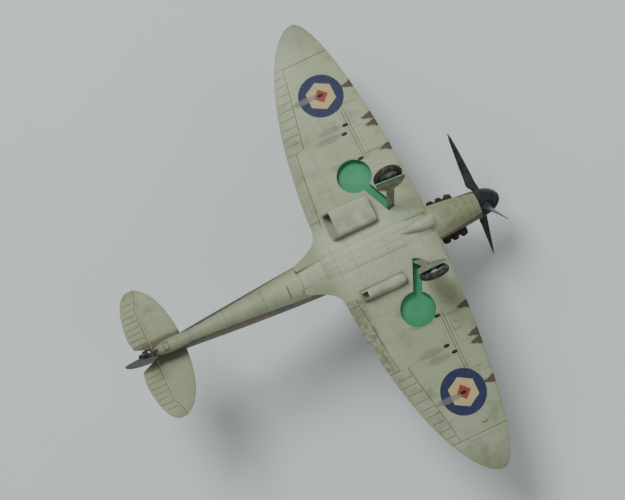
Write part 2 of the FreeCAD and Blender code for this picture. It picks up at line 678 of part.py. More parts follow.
def duct_section(x, y, half, top, bottom, squareness, inset=0.0):
    """A closed section of an under-wing duct, standing across the airflow."""
    points = []
    middle = 0.5 * (top + bottom)
    for step in range(24):
        angle = 2 * math.pi * (step + 0.5) / 24
        power = 2.0 / squareness
        sideways = math.copysign(abs(math.cos(angle)) ** power, math.cos(angle))
        upward = math.copysign(abs(math.sin(angle)) ** power, math.sin(angle))
        points.append(point(x + (half - inset) * sideways, y,
                            middle + (0.5 * (top - bottom) - inset) * upward))
    return closed_curve(points)


def underside(x):
    """Height of the wing's underside near its deepest line."""
    return PLANE_Z - size("belly_drop") + abs(x) * math.tan(DIHEDRAL)


def duct(name, x, half, rows, squareness, matrix_y):
    """An open duct under the wing with a cooling matrix across it and its floor cut back aft."""
    base = underside(x)
    outer = loft([duct_section(x, y, wide, base + 3.0, base - depth, squareness)
                  for y, wide, depth in rows])
    inset = size("duct_wall")
    reach = [(y + shift, wide, depth) for (y, wide, depth), shift in
             zip(rows, [-0.01] + [0] * (len(rows) - 2) + [0.01])]
    inner = loft([duct_section(x, y, wide, base + 3.0, base - depth, squareness, inset)
                  for y, wide, depth in reach])
    lip = rows[-1][0] - size("outlet_length")
    mouth = slab(x - half + inset, x + half - inset, lip, BIG, -BIG, base - 0.3)
    housing = outer.cut(inner).cut([wing_both, outside, mouth])
    keep(name + "_housing", main_piece(housing))
    matrix = inner.common(slab(-BIG, BIG, matrix_y, matrix_y + 1.0, -BIG, BIG)).cut(wing_both)
    keep(name + "_matrix", main_piece(matrix))


front = size("radiator_front")
back = size("radiator_back")
depth = size("radiator_depth")
half = size("radiator_half")
duct("radiator", size("radiator_x"), half, [
    (front, half - 0.2, depth - 0.25), (front + 1.2, half, depth), (front + 7.0, half, depth),
    (back - 1.8, half, depth - 0.15), (back, half - 0.1, depth - 0.9)], 7.0, front + 1.5)
front = size("cooler_front")
back = size("cooler_back")
depth = size("cooler_depth")
half = size("cooler_half")
duct("oil_cooler", size("cooler_x"), half - 0.35, [
    (front, half - 0.3, depth - 0.35), (front + 1.2, half, depth), (front + 6.0, half, depth),
    (back - 3.0, half - 0.1, depth - 0.1), (back, half - 0.35, depth - 0.9)], 2.6, front + 1.3)

intake_rows = [
    (size("intake_front"), size("intake_half"), -12.60), (26.5, size("intake_half"), -13.15),
    (30.0, 1.55, -13.15), (33.0, 0.85, -12.50), (size("intake_back"), 0.3, -11.75)]
intake_outer = loft([duct_section(0.0, y, half, -9.5, bottom, 2.4) for y, half, bottom in intake_rows])
intake_inner = loft([duct_section(0.0, y - 0.01, half, -9.5, bottom, 2.4, size("duct_wall"))
                     for y, half, bottom in intake_rows[:3]])
intake = intake_outer.cut(intake_inner).cut(outside).cut(wing_both)
keep("carburettor_intake", main_piece(intake))


# ---------------------------------------------------------------- engine exhausts

LUMP_PROFILE = [(-1.0, 0.55), (-0.55, 0.90), (0.0, 1.0), (0.6, 0.93), (0.95, 0.62)]


def exhaust_row():
    """The left row of three rounded ejector stubs that run into one another."""
    sections = []
    for number in range(3):
        y = size("stub_first_y") + number * size("stub_pitch")
        x = 5.0 + 0.07 * (y - size("stub_first_y"))
        reach = size("stub_reach") - 0.15 * number
        for along, share in LUMP_PROFILE:
            tall = size("stub_height") * math.sqrt(share)
            sections.append(duct_section(x, y + along * size("stub_half_length") * 0.78, reach * share,
                                         size("stub_z") + tall, size("stub_z") - tall, 2.3))
    return main_piece(loft(sections).cut(outside))


exhaust_left = exhaust_row()
keep("exhaust_left", exhaust_left)
keep("exhaust_right", mirrored(exhaust_left))


# ---------------------------------------------------------------- cockpit and glazing

def arch(y, half_width, base, top, squareness=2.3, inset=0.0):
    """A closed arch-shaped section of the glazing."""
    points = []
    foot = base - 1.5
    for step in range(20):
        angle = 2 * math.pi * (step + 0.5) / 20
        power = 2.0 / squareness
        sideways = math.copysign(abs(math.cos(angle)) ** power, math.cos(angle))
        upward = math.copysign(abs(math.sin(angle)) ** power, math.sin(angle))
        points.append(point((half_width - inset) * sideways, y, foot + (top - inset - foot) * upward))
    return closed_curve(points)


def glazing(name, rows, base):
    """A thin clear shell over the cockpit, cut off level at its base."""
    glass = size("glass")
    outer = loft([arch(*row) for row in rows])
    inner = loft([arch(*row, inset=glass) for row in rows])
    cover = outer.cut(inner).common(slab(-BIG, BIG, -BIG, BIG, base, BIG))
    return keep(name, main_piece(cover.cut(fuselage_shell)))


sill = size("sill_z")
glazing("windscreen", [(43.4, 2.5, sill, 8.75), (45.0, 3.1, sill, 10.3), (46.8, 3.6, sill, 11.9),
                       (48.5, 3.9, sill, 12.85)], sill)
glazing("sliding_hood", [(48.8, 4.05, sill, 13.1), (52.0, 4.3, sill, 13.65), (56.5, 4.35, sill, 13.7),
                         (60.5, 4.25, sill, 13.4)], sill + 0.15)
glazing("rear_glazing", [(60.8, 3.45, sill, 12.6), (63.5, 3.35, sill, 12.1), (66.0, 3.15, sill, 11.6),
                         (68.35, 2.9, sill, 11.15)], sill)

plate = size("plate")
keep("cockpit_floor", main_piece(inside.common(slab(-BIG, BIG, 44.5, 60.4, -5.0 - plate, -5.0))))
keep("instrument_panel", main_piece(inside.common(slab(-BIG, BIG, 48.4, 48.4 + plate, 1.0, 7.4))))
keep("cockpit_bulkhead", main_piece(inside.common(slab(-BIG, BIG, 60.5, 60.5 + plate, -9.0, 8.0))))
padded_body("seat", [
    ("-0.5 * sizes.seat_depth", "0"), ("0.5 * sizes.seat_depth", "0"),
    ("0.5 * sizes.seat_depth", "sizes.seat_height"), ("0.5 * sizes.seat_depth - 0.6", "sizes.seat_height"),
    ("0.5 * sizes.seat_depth - 0.9", "1.2"), ("-0.5 * sizes.seat_depth", "1.2")],
    "sizes.seat_width", FreeCAD.Placement(point(-2.2, 57.6, -5.0), FreeCAD.Rotation(
        point(0, 1, 0), point(0, 0, 1), point(1, 0, 0), "ZXY")))
headrest = doc.addObject("Part::Box", "headrest")
headrest.Length = 2.0
headrest.Width = plate
headrest.Height = 2.4
keep_object("headrest", headrest, FreeCAD.Placement(point(-1.0, 60.5 - plate, 7.3), FreeCAD.Rotation()))
stick = doc.addObject("Part::Cylinder", "control_column")
stick.Radius = 0.28
stick.Height = 6.0
keep_object("control_column", stick, facing(point(0, 53.2, -5.0), point(0, 0.12, 1)))
sight = doc.addObject("Part::Cylinder", "gunsight")
sight.Radius = 0.45
sight.Height = 1.6
keep_object("gunsight", sight, facing(point(0, 48.75, 7.4), point(0, 0, 1)))
mast = doc.addObject("Part::Cone", "aerial_mast")
mast.Radius1 = 0.45
mast.Radius2 = 0.22
mast.Height = 6.6
keep_object("aerial_mast", mast, facing(point(0, 71.0, 10.8), point(0, -0.05, 1)))

bump_x = 61.6
bump = Part.makeSphere(0.55, point(0, 0, 0))
stretch = FreeCAD.Matrix()
stretch.scale(0.9, 1.7, 0.9)
bump = bump.transformGeometry(stretch)
bump.translate(point(bump_x, 35.7, PLANE_Z + bump_x * math.tan(DIHEDRAL) - 0.75))
keep("pitot_base", main_piece(bump.cut(wing_left)))


# ---------------------------------------------------------------- standing on its wheels

def reach_down(centre, axle, radius, fat, downwards):
    """How far a wheel reaches along a direction."""
    side = downwards - axle * downwards.dot(axle)
    return centre.dot(downwards) + (radius - fat) * side.Length + fat


def unevenness(pitch):
    """Main wheels' reach below the tail wheel's for a nose-up pitch in radians."""
    downwards = point(0, math.sin(pitch), -math.cos(pitch))
    main = reach_down(wheel_centre, inboard, size("wheel_radius"), size("tyre_radius"), downwards)
    tail = reach_down(tail_centre, across, size("tail_wheel_radius"), 0.0, downwards)
    return main - tail


low, high = 0.0, 0.5
for turn in range(50):
    pitch = 0.5 * (low + high)
    if unevenness(pitch) > 0:
        low = pitch
    else:
        high = pitch

doc.recompute()
downwards = point(0, math.sin(pitch), -math.cos(pitch))
lift = reach_down(wheel_centre, inboard, size("wheel_radius"), size("tyre_radius"), downwards)
nose_up = FreeCAD.Rotation(point(1, 0, 0), -math.degrees(pitch))
STANCE = FreeCAD.Placement(point(0, 0, lift), nose_up)
for name, piece in pieces.items():
    piece.Placement = STANCE.multiply(places[name])
doc.recompute()

ends = [pieces[name].Shape.optimalBoundingBox(False) for name in ("propeller", "spinner", "rudder")]
middle_y = 0.5 * (min(end.YMin for end in ends) + max(end.YMax for end in ends))
STANCE = FreeCAD.Placement(point(0, -middle_y, lift), nose_up)
for name, piece in pieces.items():
    piece.Placement = STANCE.multiply(places[name])
doc.recompute()

for item in doc.Objects:
    if "Invalid" in item.State or "Error" in item.State:
        raise RuntimeError("%s is in state %s" % (item.Label, item.State))
for name, piece in pieces.items():
    if piece.Shape.isNull() or not piece.Shape.isValid() or not piece.Shape.Solids:
        raise RuntimeError("%s has no valid solid" % name)

os.makedirs("parts", exist_ok=True)
for name, piece in pieces.items():
    piece.Shape.exportStep("parts/%s.step" % name)
print("nodes", len(pieces), "pitch %.2f" % math.degrees(pitch), "fold %.2f" % fold_angle)
marks = (("pivot", pivot), ("wheel", wheel_centre), ("tail", tail_centre),
         ("disc", point(0, disc_y, 0)))
for label, place in marks:
    print(label, STANCE.multVec(place))
for label, way in (("fold", fold_axis), ("axle", inboard), ("thrust", thrust)):
    print(label, nose_up.multVec(way))
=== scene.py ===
import json
import math

import bpy
import numpy as np
from mathutils import Matrix, Vector
from mathutils.kdtree import KDTree


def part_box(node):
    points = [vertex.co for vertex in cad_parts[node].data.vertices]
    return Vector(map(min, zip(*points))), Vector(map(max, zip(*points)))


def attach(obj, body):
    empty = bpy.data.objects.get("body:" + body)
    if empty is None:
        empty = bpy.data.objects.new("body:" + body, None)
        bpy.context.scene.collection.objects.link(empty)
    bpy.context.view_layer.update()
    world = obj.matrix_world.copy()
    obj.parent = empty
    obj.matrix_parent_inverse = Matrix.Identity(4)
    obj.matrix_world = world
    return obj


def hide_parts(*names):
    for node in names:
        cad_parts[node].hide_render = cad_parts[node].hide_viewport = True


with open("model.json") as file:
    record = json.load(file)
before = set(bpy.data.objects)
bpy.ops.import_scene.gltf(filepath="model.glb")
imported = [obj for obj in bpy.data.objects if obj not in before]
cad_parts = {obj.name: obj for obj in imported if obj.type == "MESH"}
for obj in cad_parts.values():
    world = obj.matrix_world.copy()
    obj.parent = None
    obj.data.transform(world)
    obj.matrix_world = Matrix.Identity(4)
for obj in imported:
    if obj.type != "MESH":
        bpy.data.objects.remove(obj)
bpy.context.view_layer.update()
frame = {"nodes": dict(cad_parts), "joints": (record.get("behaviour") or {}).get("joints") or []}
nodes = frame["nodes"]
joints = {j["name"]: j for j in frame["joints"]}

# ------------------------------------------------------------------ the aeroplane's own axes
# x to port, y aft, z up, in millimetres, from the spinner's tip. The row frame is the same
# thing pitched nose-up onto its wheels, in metres.
DISC_Y = 5.5
disc = Vector(joints["propeller_spin"]["pos_m"])
thrust = Vector(joints["propeller_spin"]["axis"])
COS, SIN = thrust.y, -thrust.z


def to_row(points):
    """Points from the aeroplane's axes (mm) to the row frame (m)."""
    p = np.asarray(points, float).reshape(-1, 3)
    y = p[:, 1] - DISC_Y
    out = np.empty_like(p)
    out[:, 0] = p[:, 0] / 1000
    out[:, 1] = (y * COS + p[:, 2] * SIN) / 1000 + disc.y
    out[:, 2] = (-y * SIN + p[:, 2] * COS) / 1000 + disc.z
    return out


def row_point(x, y, z):
    return Vector(to_row([(x, y, z)])[0])


def row_way(x, y, z):
    return Vector((x, y * COS + z * SIN, -y * SIN + z * COS)).normalized()


def to_air(p):
    """A row point (m) in the aeroplane's axes (mm)."""
    y, z = (p[1] - disc.y) * 1000, (p[2] - disc.z) * 1000
    return np.array([p[0] * 1000, y * COS - z * SIN + DISC_Y, y * SIN + z * COS])


# ------------------------------------------------------------------ a small shader language

class W:
    """A socket with arithmetic."""

    def __init__(self, net, socket):
        self.net, self.socket = net, socket

    def __add__(self, o): return self.net.math("ADD", self, o)
    def __radd__(self, o): return self.net.math("ADD", o, self)
    def __sub__(self, o): return self.net.math("SUBTRACT", self, o)
    def __rsub__(self, o): return self.net.math("SUBTRACT", o, self)
    def __mul__(self, o): return self.net.math("MULTIPLY", self, o)
    def __rmul__(self, o): return self.net.math("MULTIPLY", o, self)
    def __truediv__(self, o): return self.net.math("DIVIDE", self, o)
    def __pow__(self, o): return self.net.math("POWER", self, o)


class Net:
    """One material's nodes, with the aeroplane's axes at hand."""

    def __init__(self, name):
        self.mat = bpy.data.materials.new(name)
        self.mat.use_nodes = True
        self.tree = self.mat.node_tree
        self.tree.nodes.clear()
        self.out = self.new("ShaderNodeOutputMaterial")
        self.bsdf = self.new("ShaderNodeBsdfPrincipled")
        self.tree.links.new(self.bsdf.outputs[0], self.out.inputs["Surface"])
        where = W(self, self.new("ShaderNodeTexCoord").outputs["Object"])
        x, y, z = self.split(where)
        y = (y - disc.y) * 1000
        z = (z - disc.z) * 1000
        self.x = x * 1000
        self.y = y * COS - z * SIN + DISC_Y
        self.z = y * SIN + z * COS
        self.ax = self.math("ABSOLUTE", self.x)
        self.at = self.join(self.x, self.y, self.z)

    def new(self, kind, **settings):
        node = self.tree.nodes.new(kind)
        for key, value in settings.items():
            setattr(node, key, value)
        return node

    def put(self, socket, value):
        if isinstance(value, W):
            self.tree.links.new(value.socket, socket)
        elif isinstance(value, (tuple, list)):
            opaque = (1.0,) if len(value) == 3 and socket.type == "RGBA" else ()
            socket.default_value = tuple(value) + opaque
        else:
            socket.default_value = value

    def math(self, kind, *values, clamp=False):
        node = self.new("ShaderNodeMath", operation=kind, use_clamp=clamp)
        for socket, value in zip(node.inputs, values):
            self.put(socket, value)
        return W(self, node.outputs[0])

    def low(self, a, b): return self.math("MINIMUM", a, b)
    def top(self, a, b): return self.math("MAXIMUM", a, b)
    def size(self, a): return self.math("ABSOLUTE", a)

    def split(self, vector):
        node = self.new("ShaderNodeSeparateXYZ")
        self.put(node.inputs[0], vector)
        return [W(self, s) for s in node.outputs]

    def join(self, x, y, z):
        node = self.new("ShaderNodeCombineXYZ")
        for socket, value in zip(node.inputs, (x, y, z)):
            self.put(socket, value)
        return W(self, node.outputs[0])

    def step(self, value, low, high, a=0.0, b=1.0):
        """A smooth step from a to b while value goes from low to high."""
        node = self.new("ShaderNodeMapRange", interpolation_type="SMOOTHSTEP")
        for key, v in (("Value", value), ("From Min", low), ("From Max", high), ("To Min", a), ("To Max", b)):
            self.put(node.inputs[key], v)
        return W(self, node.outputs[0])

    def noise(self, scale, detail=4.0, rough=0.55, at=None, twist=0.0):
        node = self.new("ShaderNodeTexNoise")
        self.put(node.inputs["Vector"], at or self.at)
        self.put(node.inputs["Scale"], scale)
        self.put(node.inputs["Detail"], detail)
        self.put(node.inputs["Roughness"], rough)
        self.put(node.inputs["Distortion"], twist)
        return W(self, node.outputs[0])

    def mix(self, share, a, b, kind="MIX"):
        node = self.new("ShaderNodeMix", data_type="RGBA", blend_type=kind)
        self.put(node.inputs[0], share)
        self.put(node.inputs[6], a)
        self.put(node.inputs[7], b)
        return W(self, node.outputs[2])

    def grey(self, value):
        node = self.new("ShaderNodeCombineColor")
        for socket in node.inputs:
            self.put(socket, value)
        return W(self, node.outputs[0])

    def shade(self, colour, amount):
        """The colour multiplied by a number."""
        return self.mix(1.0, colour, self.grey(amount), "MULTIPLY")

    def blob(self, cx, cy, rx, ry, soft=0.3, rough=0.0, scale=0.6):
        """A soft ellipse on both wings, with a ragged edge."""
        dx, dy = (self.ax - cx) / rx, (self.y - cy) / ry
        far = self.math("SQRT", dx * dx + dy * dy)
        if rough:
            far = far + (self.noise(scale, 3.0) - 0.5) * rough
        return self.step(far, 1 + soft, 1 - soft)

    def groove(self, name="groove"):
        return W(self, self.new("ShaderNodeAttribute", attribute_name=name).outputs["Fac"])

    def line(self, value, at, width):
        """A thin soft line where value is at."""
        return self.step(self.size(value - at), width, width * 0.35)

    def between(self, value, low, high, soft=0.1):
        return self.step(value, low - soft, low + soft) * self.step(value, high + soft, high - soft)

    def dots(self, along, pitch, radius_share=0.35):
        """A row of dots along a direction."""
        return self.step(self.size(self.math("FRACT", along / pitch) - 0.5), radius_share, radius_share * 0.4)

    def finish(self, colour, rough=0.55, height=None, depth=0.06, strength=0.7, metal=0.0,
               coat=0.0, shine=0.35):
        """Sets colour, roughness and relief, with a fine grain in each."""
        fine = self.noise(2.4, 5.0, 0.6)
        grain = self.noise(0.55, 4.0, 0.6)
        relief = fine * 0.35 + grain * 0.5
        if height is not None:
            relief = relief + height
        bump = self.new("ShaderNodeBump")
        self.put(bump.inputs["Strength"], strength)
        self.put(bump.inputs["Distance"], depth / 1000)
        self.put(bump.inputs["Height"], relief)
        self.put(self.bsdf.inputs["Normal"], W(self, bump.outputs[0]))
        self.put(self.bsdf.inputs["Base Color"], self.shade(colour, 0.93 + fine * 0.14))
        if isinstance(rough, (int, float)):
            rough = rough + (grain - 0.5) * 0.25 + (fine - 0.5) * 0.1
        self.put(self.bsdf.inputs["Roughness"], rough)
        self.put(self.bsdf.inputs["Metallic"], metal)
        self.put(self.bsdf.inputs["Coat Weight"], coat)
        self.put(self.bsdf.inputs["Specular IOR Level"], shine)
        return self.mat


SKY = (0.362, 0.402, 0.246)
SKY_PALE = (0.462, 0.510, 0.345)
SKY_DIRTY = (0.180, 0.190, 0.105)
SOOT = (0.060, 0.058, 0.046)
BROWN_DIRT = (0.150, 0.135, 0.090)
DARK_EARTH = (0.118, 0.083, 0.052)
DARK_GREEN = (0.062, 0.082, 0.058)
# dark panel-line wash, also the colour of the painted shade round the coolers
WASH_AND_SHADE = (0.055, 0.060, 0.042)
CHIP = (0.060, 0.042, 0.034)
CHIP_RED = (0.170, 0.040, 0.030)


def worn_sky(net):
    """Duck-egg underside paint: mottled, with pale and dirty patches."""
    broad = net.noise(0.035, 3.0, 0.5)
    cloudy = net.noise(0.16, 5.0, 0.6)
    streak_at = net.join(net.x * 0.55, net.y * 0.09, net.z * 0.3)
    streaks = net.noise(1.0, 4.0, 0.6, at=streak_at)
    colour = net.mix(net.step(broad, 0.35, 0.7), SKY, SKY_PALE)
    colour = net.mix(net.step(cloudy, 0.48, 0.78) * 0.55, colour, SKY_DIRTY)
    colour = net.mix(net.step(streaks, 0.52, 0.8) * 0.35, colour, SKY_DIRTY)
    return colour


def camouflage(net):
    """Brown and green upper-surface paint in large soft-edged patches."""
    at = net.join(net.x * 0.9, net.y * 0.9 + 31.0, net.z * 0.35)
    patches = net.noise(0.040, 1.0, 0.4, at=at, twist=0.8)
    edge = net.noise(0.9, 3.0)
    colour = net.mix(net.step(patches + (edge - 0.5) * 0.012, 0.492, 0.503), DARK_GREEN, DARK_EARTH)
    worn = net.noise(0.22, 5.0, 0.6)
    colour = net.shade(colour, 0.85 + worn * 0.4)
    return net.mix(net.step(net.noise(1.6, 6.0, 0.7), 0.66, 0.74) * 0.5, colour, (0.21, 0.20, 0.16))


def engraved(net, colour, groove, share=0.8):
    return net.mix(groove * share, colour, WASH_AND_SHADE)


def marking(net, colour, cx, cy, radius):
    """A plain disc with a six-sided pale field and a small red lozenge, on each wing."""
    dx, dy = net.ax - cx, net.y - cy
    ragged = (net.noise(1.8, 3.0) - 0.5) * 0.18
    far = net.math("SQRT", dx * dx + dy * dy) + ragged
    u, v = net.size(dx) + ragged, net.size(dy) + ragged
    hexagon = net.top(u * 0.866 + v * 0.5, v)
    lozenge = u + v
    blue_tone = net.mix(net.noise(0.5, 4.0), (0.013, 0.020, 0.075), (0.034, 0.046, 0.105))
    cream = net.mix(net.noise(0.4, 4.0), (0.56, 0.44, 0.20), (0.44, 0.38, 0.20))
    red = net.mix(net.noise(0.9, 4.0), (0.38, 0.050, 0.030), (0.22, 0.050, 0.040))
    colour = net.mix(net.step(far, radius + 0.12, radius - 0.12), colour, blue_tone)
    colour = net.mix(net.step(hexagon, radius * 0.58 + 0.1, radius * 0.58 - 0.1), colour, cream)
    return net.mix(net.step(lozenge, radius * 0.34 + 0.1, radius * 0.34 - 0.1), colour, red)


GUNS = (27.4, 36.4, 39.0, 51.3)
SLOTS = ((27.2, 35.4), (36.6, 36.6), (39.2, 35.1), (51.5, 38.0))


def wing_under():
    net = Net("sky_paint_wing")
    ax, y = net.ax, net.y
    colour = worn_sky(net)
    lead = ax / 77.8
    # thumbed and dirty edges, grubby flaps and tips
    root = net.math("SQRT", net.top(1.0 - lead * lead, 0.0))
    behind = (y - 36.1) / (root * 23.4 + 0.5)
    ahead = (36.1 - y) / (root * 12.0 + 0.3)
    edge = net.step(behind + (net.noise(0.35, 4.0) - 0.5) * 0.35, 0.72, 1.05)
    colour = net.mix(edge * 0.45, colour, SKY_DIRTY)
    nose = net.step(ahead + (net.noise(0.45, 4.0) - 0.5) * 0.25, 0.86, 1.08)
    colour = net.mix(nose * 0.55, colour, SKY_DIRTY)
    tip = net.step(ax + (net.noise(0.2, 4.0) - 0.5) * 14, 66.0, 80.0)
    colour = net.mix(tip * 0.5, colour, BROWN_DIRT)
    flap = net.between(ax, 12.0, 37.5, 0.8) * net.step(y, 53.2, 54.6)
    grubby = 0.25 + net.step(net.x, 0.0, 12.0) * 0.45
    colour = net.mix(flap * net.step(net.noise(0.55, 6.0, 0.7), 0.38, 0.60) * grubby, colour, BROWN_DIRT)
    # painted shade: the port side darker by up to a tenth and the outer panels by up to a seventh
    port = net.step(net.x, -20.0, 60.0)
    outboard = net.step(net.x, 36.0, 66.0)
    colour = net.shade(colour, 1.0 - port * 0.10 - outboard * 0.14)
    # painted highlight: a paler patch on the inner wings either side of the belly
    middle = net.step(ax, 16.0, 4.0) * net.between(y, 28.0, 60.0, 3.0)
    colour = net.mix(middle * 0.5, colour, (0.520, 0.575, 0.420))
    # painted shadow of the port tyre on the wing ahead of its well, and sooty streaks behind the slots
    tyre_shadow = net.blob(20.0, 30.1, 5.5, 3.6, 0.75, 0.2) * 0.42 * net.step(net.x, -5.0, 5.0)
    colour = net.mix(tyre_shadow, colour, (0.10, 0.095, 0.06))
    for sx, sy in SLOTS:
        tail = net.blob(sx + 0.2, sy + 5.2, 1.15, 4.0, 0.35, 0.5)
        colour = net.mix(tail * 0.62, colour, (0.20, 0.195, 0.155))
    colour = marking(net, colour, 51.3, 37.8, 7.2)
    tail = net.blob(51.8, 42.5, 0.95, 4.4, 0.3, 0.5)
    colour = net.mix(tail * 0.7, colour, (0.19, 0.185, 0.16))
    # painted shade in the corners round the radiator and the oil cooler, fading out over 0.85 mm
    for cx, cy, wide, long in ((-11.3, 46.9, 4.35, 7.4), (12.5, 46.5, 1.8, 7.1)):
        across, along = net.size(net.x - cx) - wide, net.size(y - cy) - long
        rim = net.top(across, along) + (net.noise(0.9, 3.0) - 0.5) * 0.3
        colour = net.mix(net.step(rim, 0.85, 0.0) * 0.5, colour, WASH_AND_SHADE)
    # rows of rivets
    spots = net.line(ax, 28.2, 0.16) * net.dots(y, 0.85) * net.between(y, 28.0, 53.0)
    for at_x, y0, y1, pitch in ((37.3, 28.0, 50.0, 0.85), (27.2, 33.0, 53.0, 0.95), (46.0, 29.0, 47.0, 0.95),
                                (20.0, 46.0, 55.0, 0.95), (57.5, 30.5, 45.0, 0.95)):
        spots = net.top(spots, net.line(ax, at_x, 0.15) * net.dots(y, pitch) * net.between(y, y0, y1) * 0.8)
    for at_y, x0, x1 in ((32.3, 27.0, 46.0), (35.3, 28.0, 46.0), (48.6, 15.0, 36.5)):
        spots = net.top(spots, net.line(y, at_y, 0.15) * net.dots(ax, 0.8) * net.between(ax, x0, x1) * 0.8)
    belly = net.between(ax, -1.0, 6.5) * net.between(y, 26.0, 60.0)
    grid = net.line(net.math("PINGPONG", ax + 0.2, 1.35), 1.35, 0.13) * net.dots(y, 0.7)
    grid = net.top(grid, net.line(net.math("PINGPONG", y, 2.7), 2.7, 0.13) * net.dots(ax, 0.7))
    spots = net.top(spots, grid * belly * 1.2)
    colour = net.mix(spots * 0.5, colour, WASH_AND_SHADE)
    # small access panels, each a rounded square line
    square = net.line(net.top(net.size(net.x - 32.0), net.size(y - 31.3)), 1.15, 0.13)
    spots = net.top(spots, square)
    colour = net.mix(square * 0.45, colour, WASH_AND_SHADE)
    # gun ports: dark chipped patches over the leading edge with streaks aft
    for gx in GUNS:
        ragged = (net.noise(1.1, 5.0, 0.65) - 0.5)
        front = 36.1 - 12.0 * math.sqrt(1 - (gx / 77.8) ** 2)
        aft = y - front
        wide = 1.25 - net.step(aft, 0.0, 4.5) * 1.05
        patch = net.step(net.size(ax - gx + ragged * 1.6) - wide, 0.25, -0.15)
        patch = patch * net.step(aft + ragged * 3.0, 4.6, 3.4)
        colour = net.mix(patch * 0.88, colour, CHIP)
        red = net.step(net.size(ax - gx + ragged * 2.4) - 1.25, 0.2, -0.1) * net.step(aft, 1.0, 0.6)
        colour = net.mix(red * net.step(net.noise(1.7, 4.0), 0.5, 0.58), colour, CHIP_RED)
    # ejector slots: near-black patches, painted shade standing in for the recessed slots, with a dip in the
    # relief
    dark = net.blob(SLOTS[0][0], SLOTS[0][1], 0.5, 0.95, 0.18)
    for sx, sy in SLOTS[1:]:
        dark = net.top(dark, net.blob(sx, sy, 0.5, 1.0, 0.18))
    colour = net.mix(dark, colour, (0.012, 0.012, 0.010))
    groove = net.groove()
    colour = engraved(net, colour, groove, 0.78)
    worn = net.step(net.noise(0.9, 6.0, 0.7), 0.64, 0.70)
    colour = net.mix(worn * 0.25, colour, (0.56, 0.58, 0.48))
    return net.finish(colour, 0.58, height=spots * -1.2 - dark * 3.0, depth=0.07)


def fuselage_paint():
    net = Net("camouflage_paint_fuselage")
    y, z = net.y, net.z
    sky = worn_sky(net)
    top = camouflage(net)
    heights = np.polyfit([6, 14, 24, 45, 60, 72, 85, 95, 108, 122, 130],
                         [-3.2, -4.4, -5.2, -6.4, -6.3, -5.6, -4.4, -3.2, -1.6, -0.2, 0.4], 3)
    limit = y * float(heights[0]) + float(heights[1])
    limit = limit * y + float(heights[2])
    limit = limit * y + float(heights[3])
    edge = z - limit + (net.noise(0.35, 3.0) - 0.5) * 0.5
    grubby = net.step(edge, -4.0, 0.0)
    sky = net.mix(grubby * 0.45, sky, SKY_DIRTY)
    sky = net.mix(net.step(y, 84.0, 118.0) * 0.45, sky, SKY_DIRTY)
    cowl = net.step(y, 24.0, 19.0)
    sky = net.mix(cowl * (0.35 + net.step(net.noise(0.5, 5.0), 0.45, 0.65) * 0.35), sky, SKY_DIRTY)
    colour = net.mix(net.step(edge, -0.15, 0.15), sky, top)
    # engraved lines: frames, cowling panels and a seam
    lines = net.line(y, 24.9, 0.16) * net.step(z, 9.0, 8.0)
    for station in (9.6, 12.0, 41.0, 68.6, 81.5, 94.5, 106.5):
        lines = net.top(lines, net.line(y, station, 0.14) * 0.8)
    lines = net.top(lines, net.line(z, 3.3, 0.13) * net.step(y, 25.0, 24.6))
    lines = net.top(lines, net.line(z, -2.2, 0.13) * net.step(y, 25.0, 24.6) * 0.8)
    rear_half = net.step(y, 62.0, 63.0)
    rivets = net.line(net.math("PINGPONG", y, 4.6), 4.6, 0.14) * net.dots(z, 0.85) * rear_half * 0.6
    seams = net.line(net.math("PINGPONG", z, 1.4), 1.4, 0.12) * net.dots(y, 0.85) * rear_half * 0.4
    rivets = net.top(rivets, seams)
    soot = net.step(net.size(z - 1.2 + (net.noise(0.3, 3.0) - 0.5) * 2.0), 2.2, 0.4)
    soot = soot * net.between(y, 16.0, 46.0, 6.0)
    colour = net.mix(soot * 0.55, colour, SOOT)
    hatch = net.line(net.top(net.ax * 0.6, net.size(y - 114.3)), 0.75, 0.16) * net.step(z, 1.0, 0.0)
    mark = net.line(y, 73.3, 0.3) * net.between(net.x, -0.6, 3.4, 0.4) * net.step(z, -4.0, -5.0)
    colour = net.mix(net.top(mark, hatch) * 0.8, colour, WASH_AND_SHADE)
    fine = net.top(lines, rivets)
    colour = net.mix(fine * 0.55, colour, WASH_AND_SHADE)
    chips = net.step(net.noise(1.4, 6.0, 0.7), 0.67, 0.72) * 0.5
    colour = net.mix(chips, colour, (0.30, 0.30, 0.25))
    return net.finish(colour, 0.6, height=fine * -1.2 - hatch, depth=0.07)


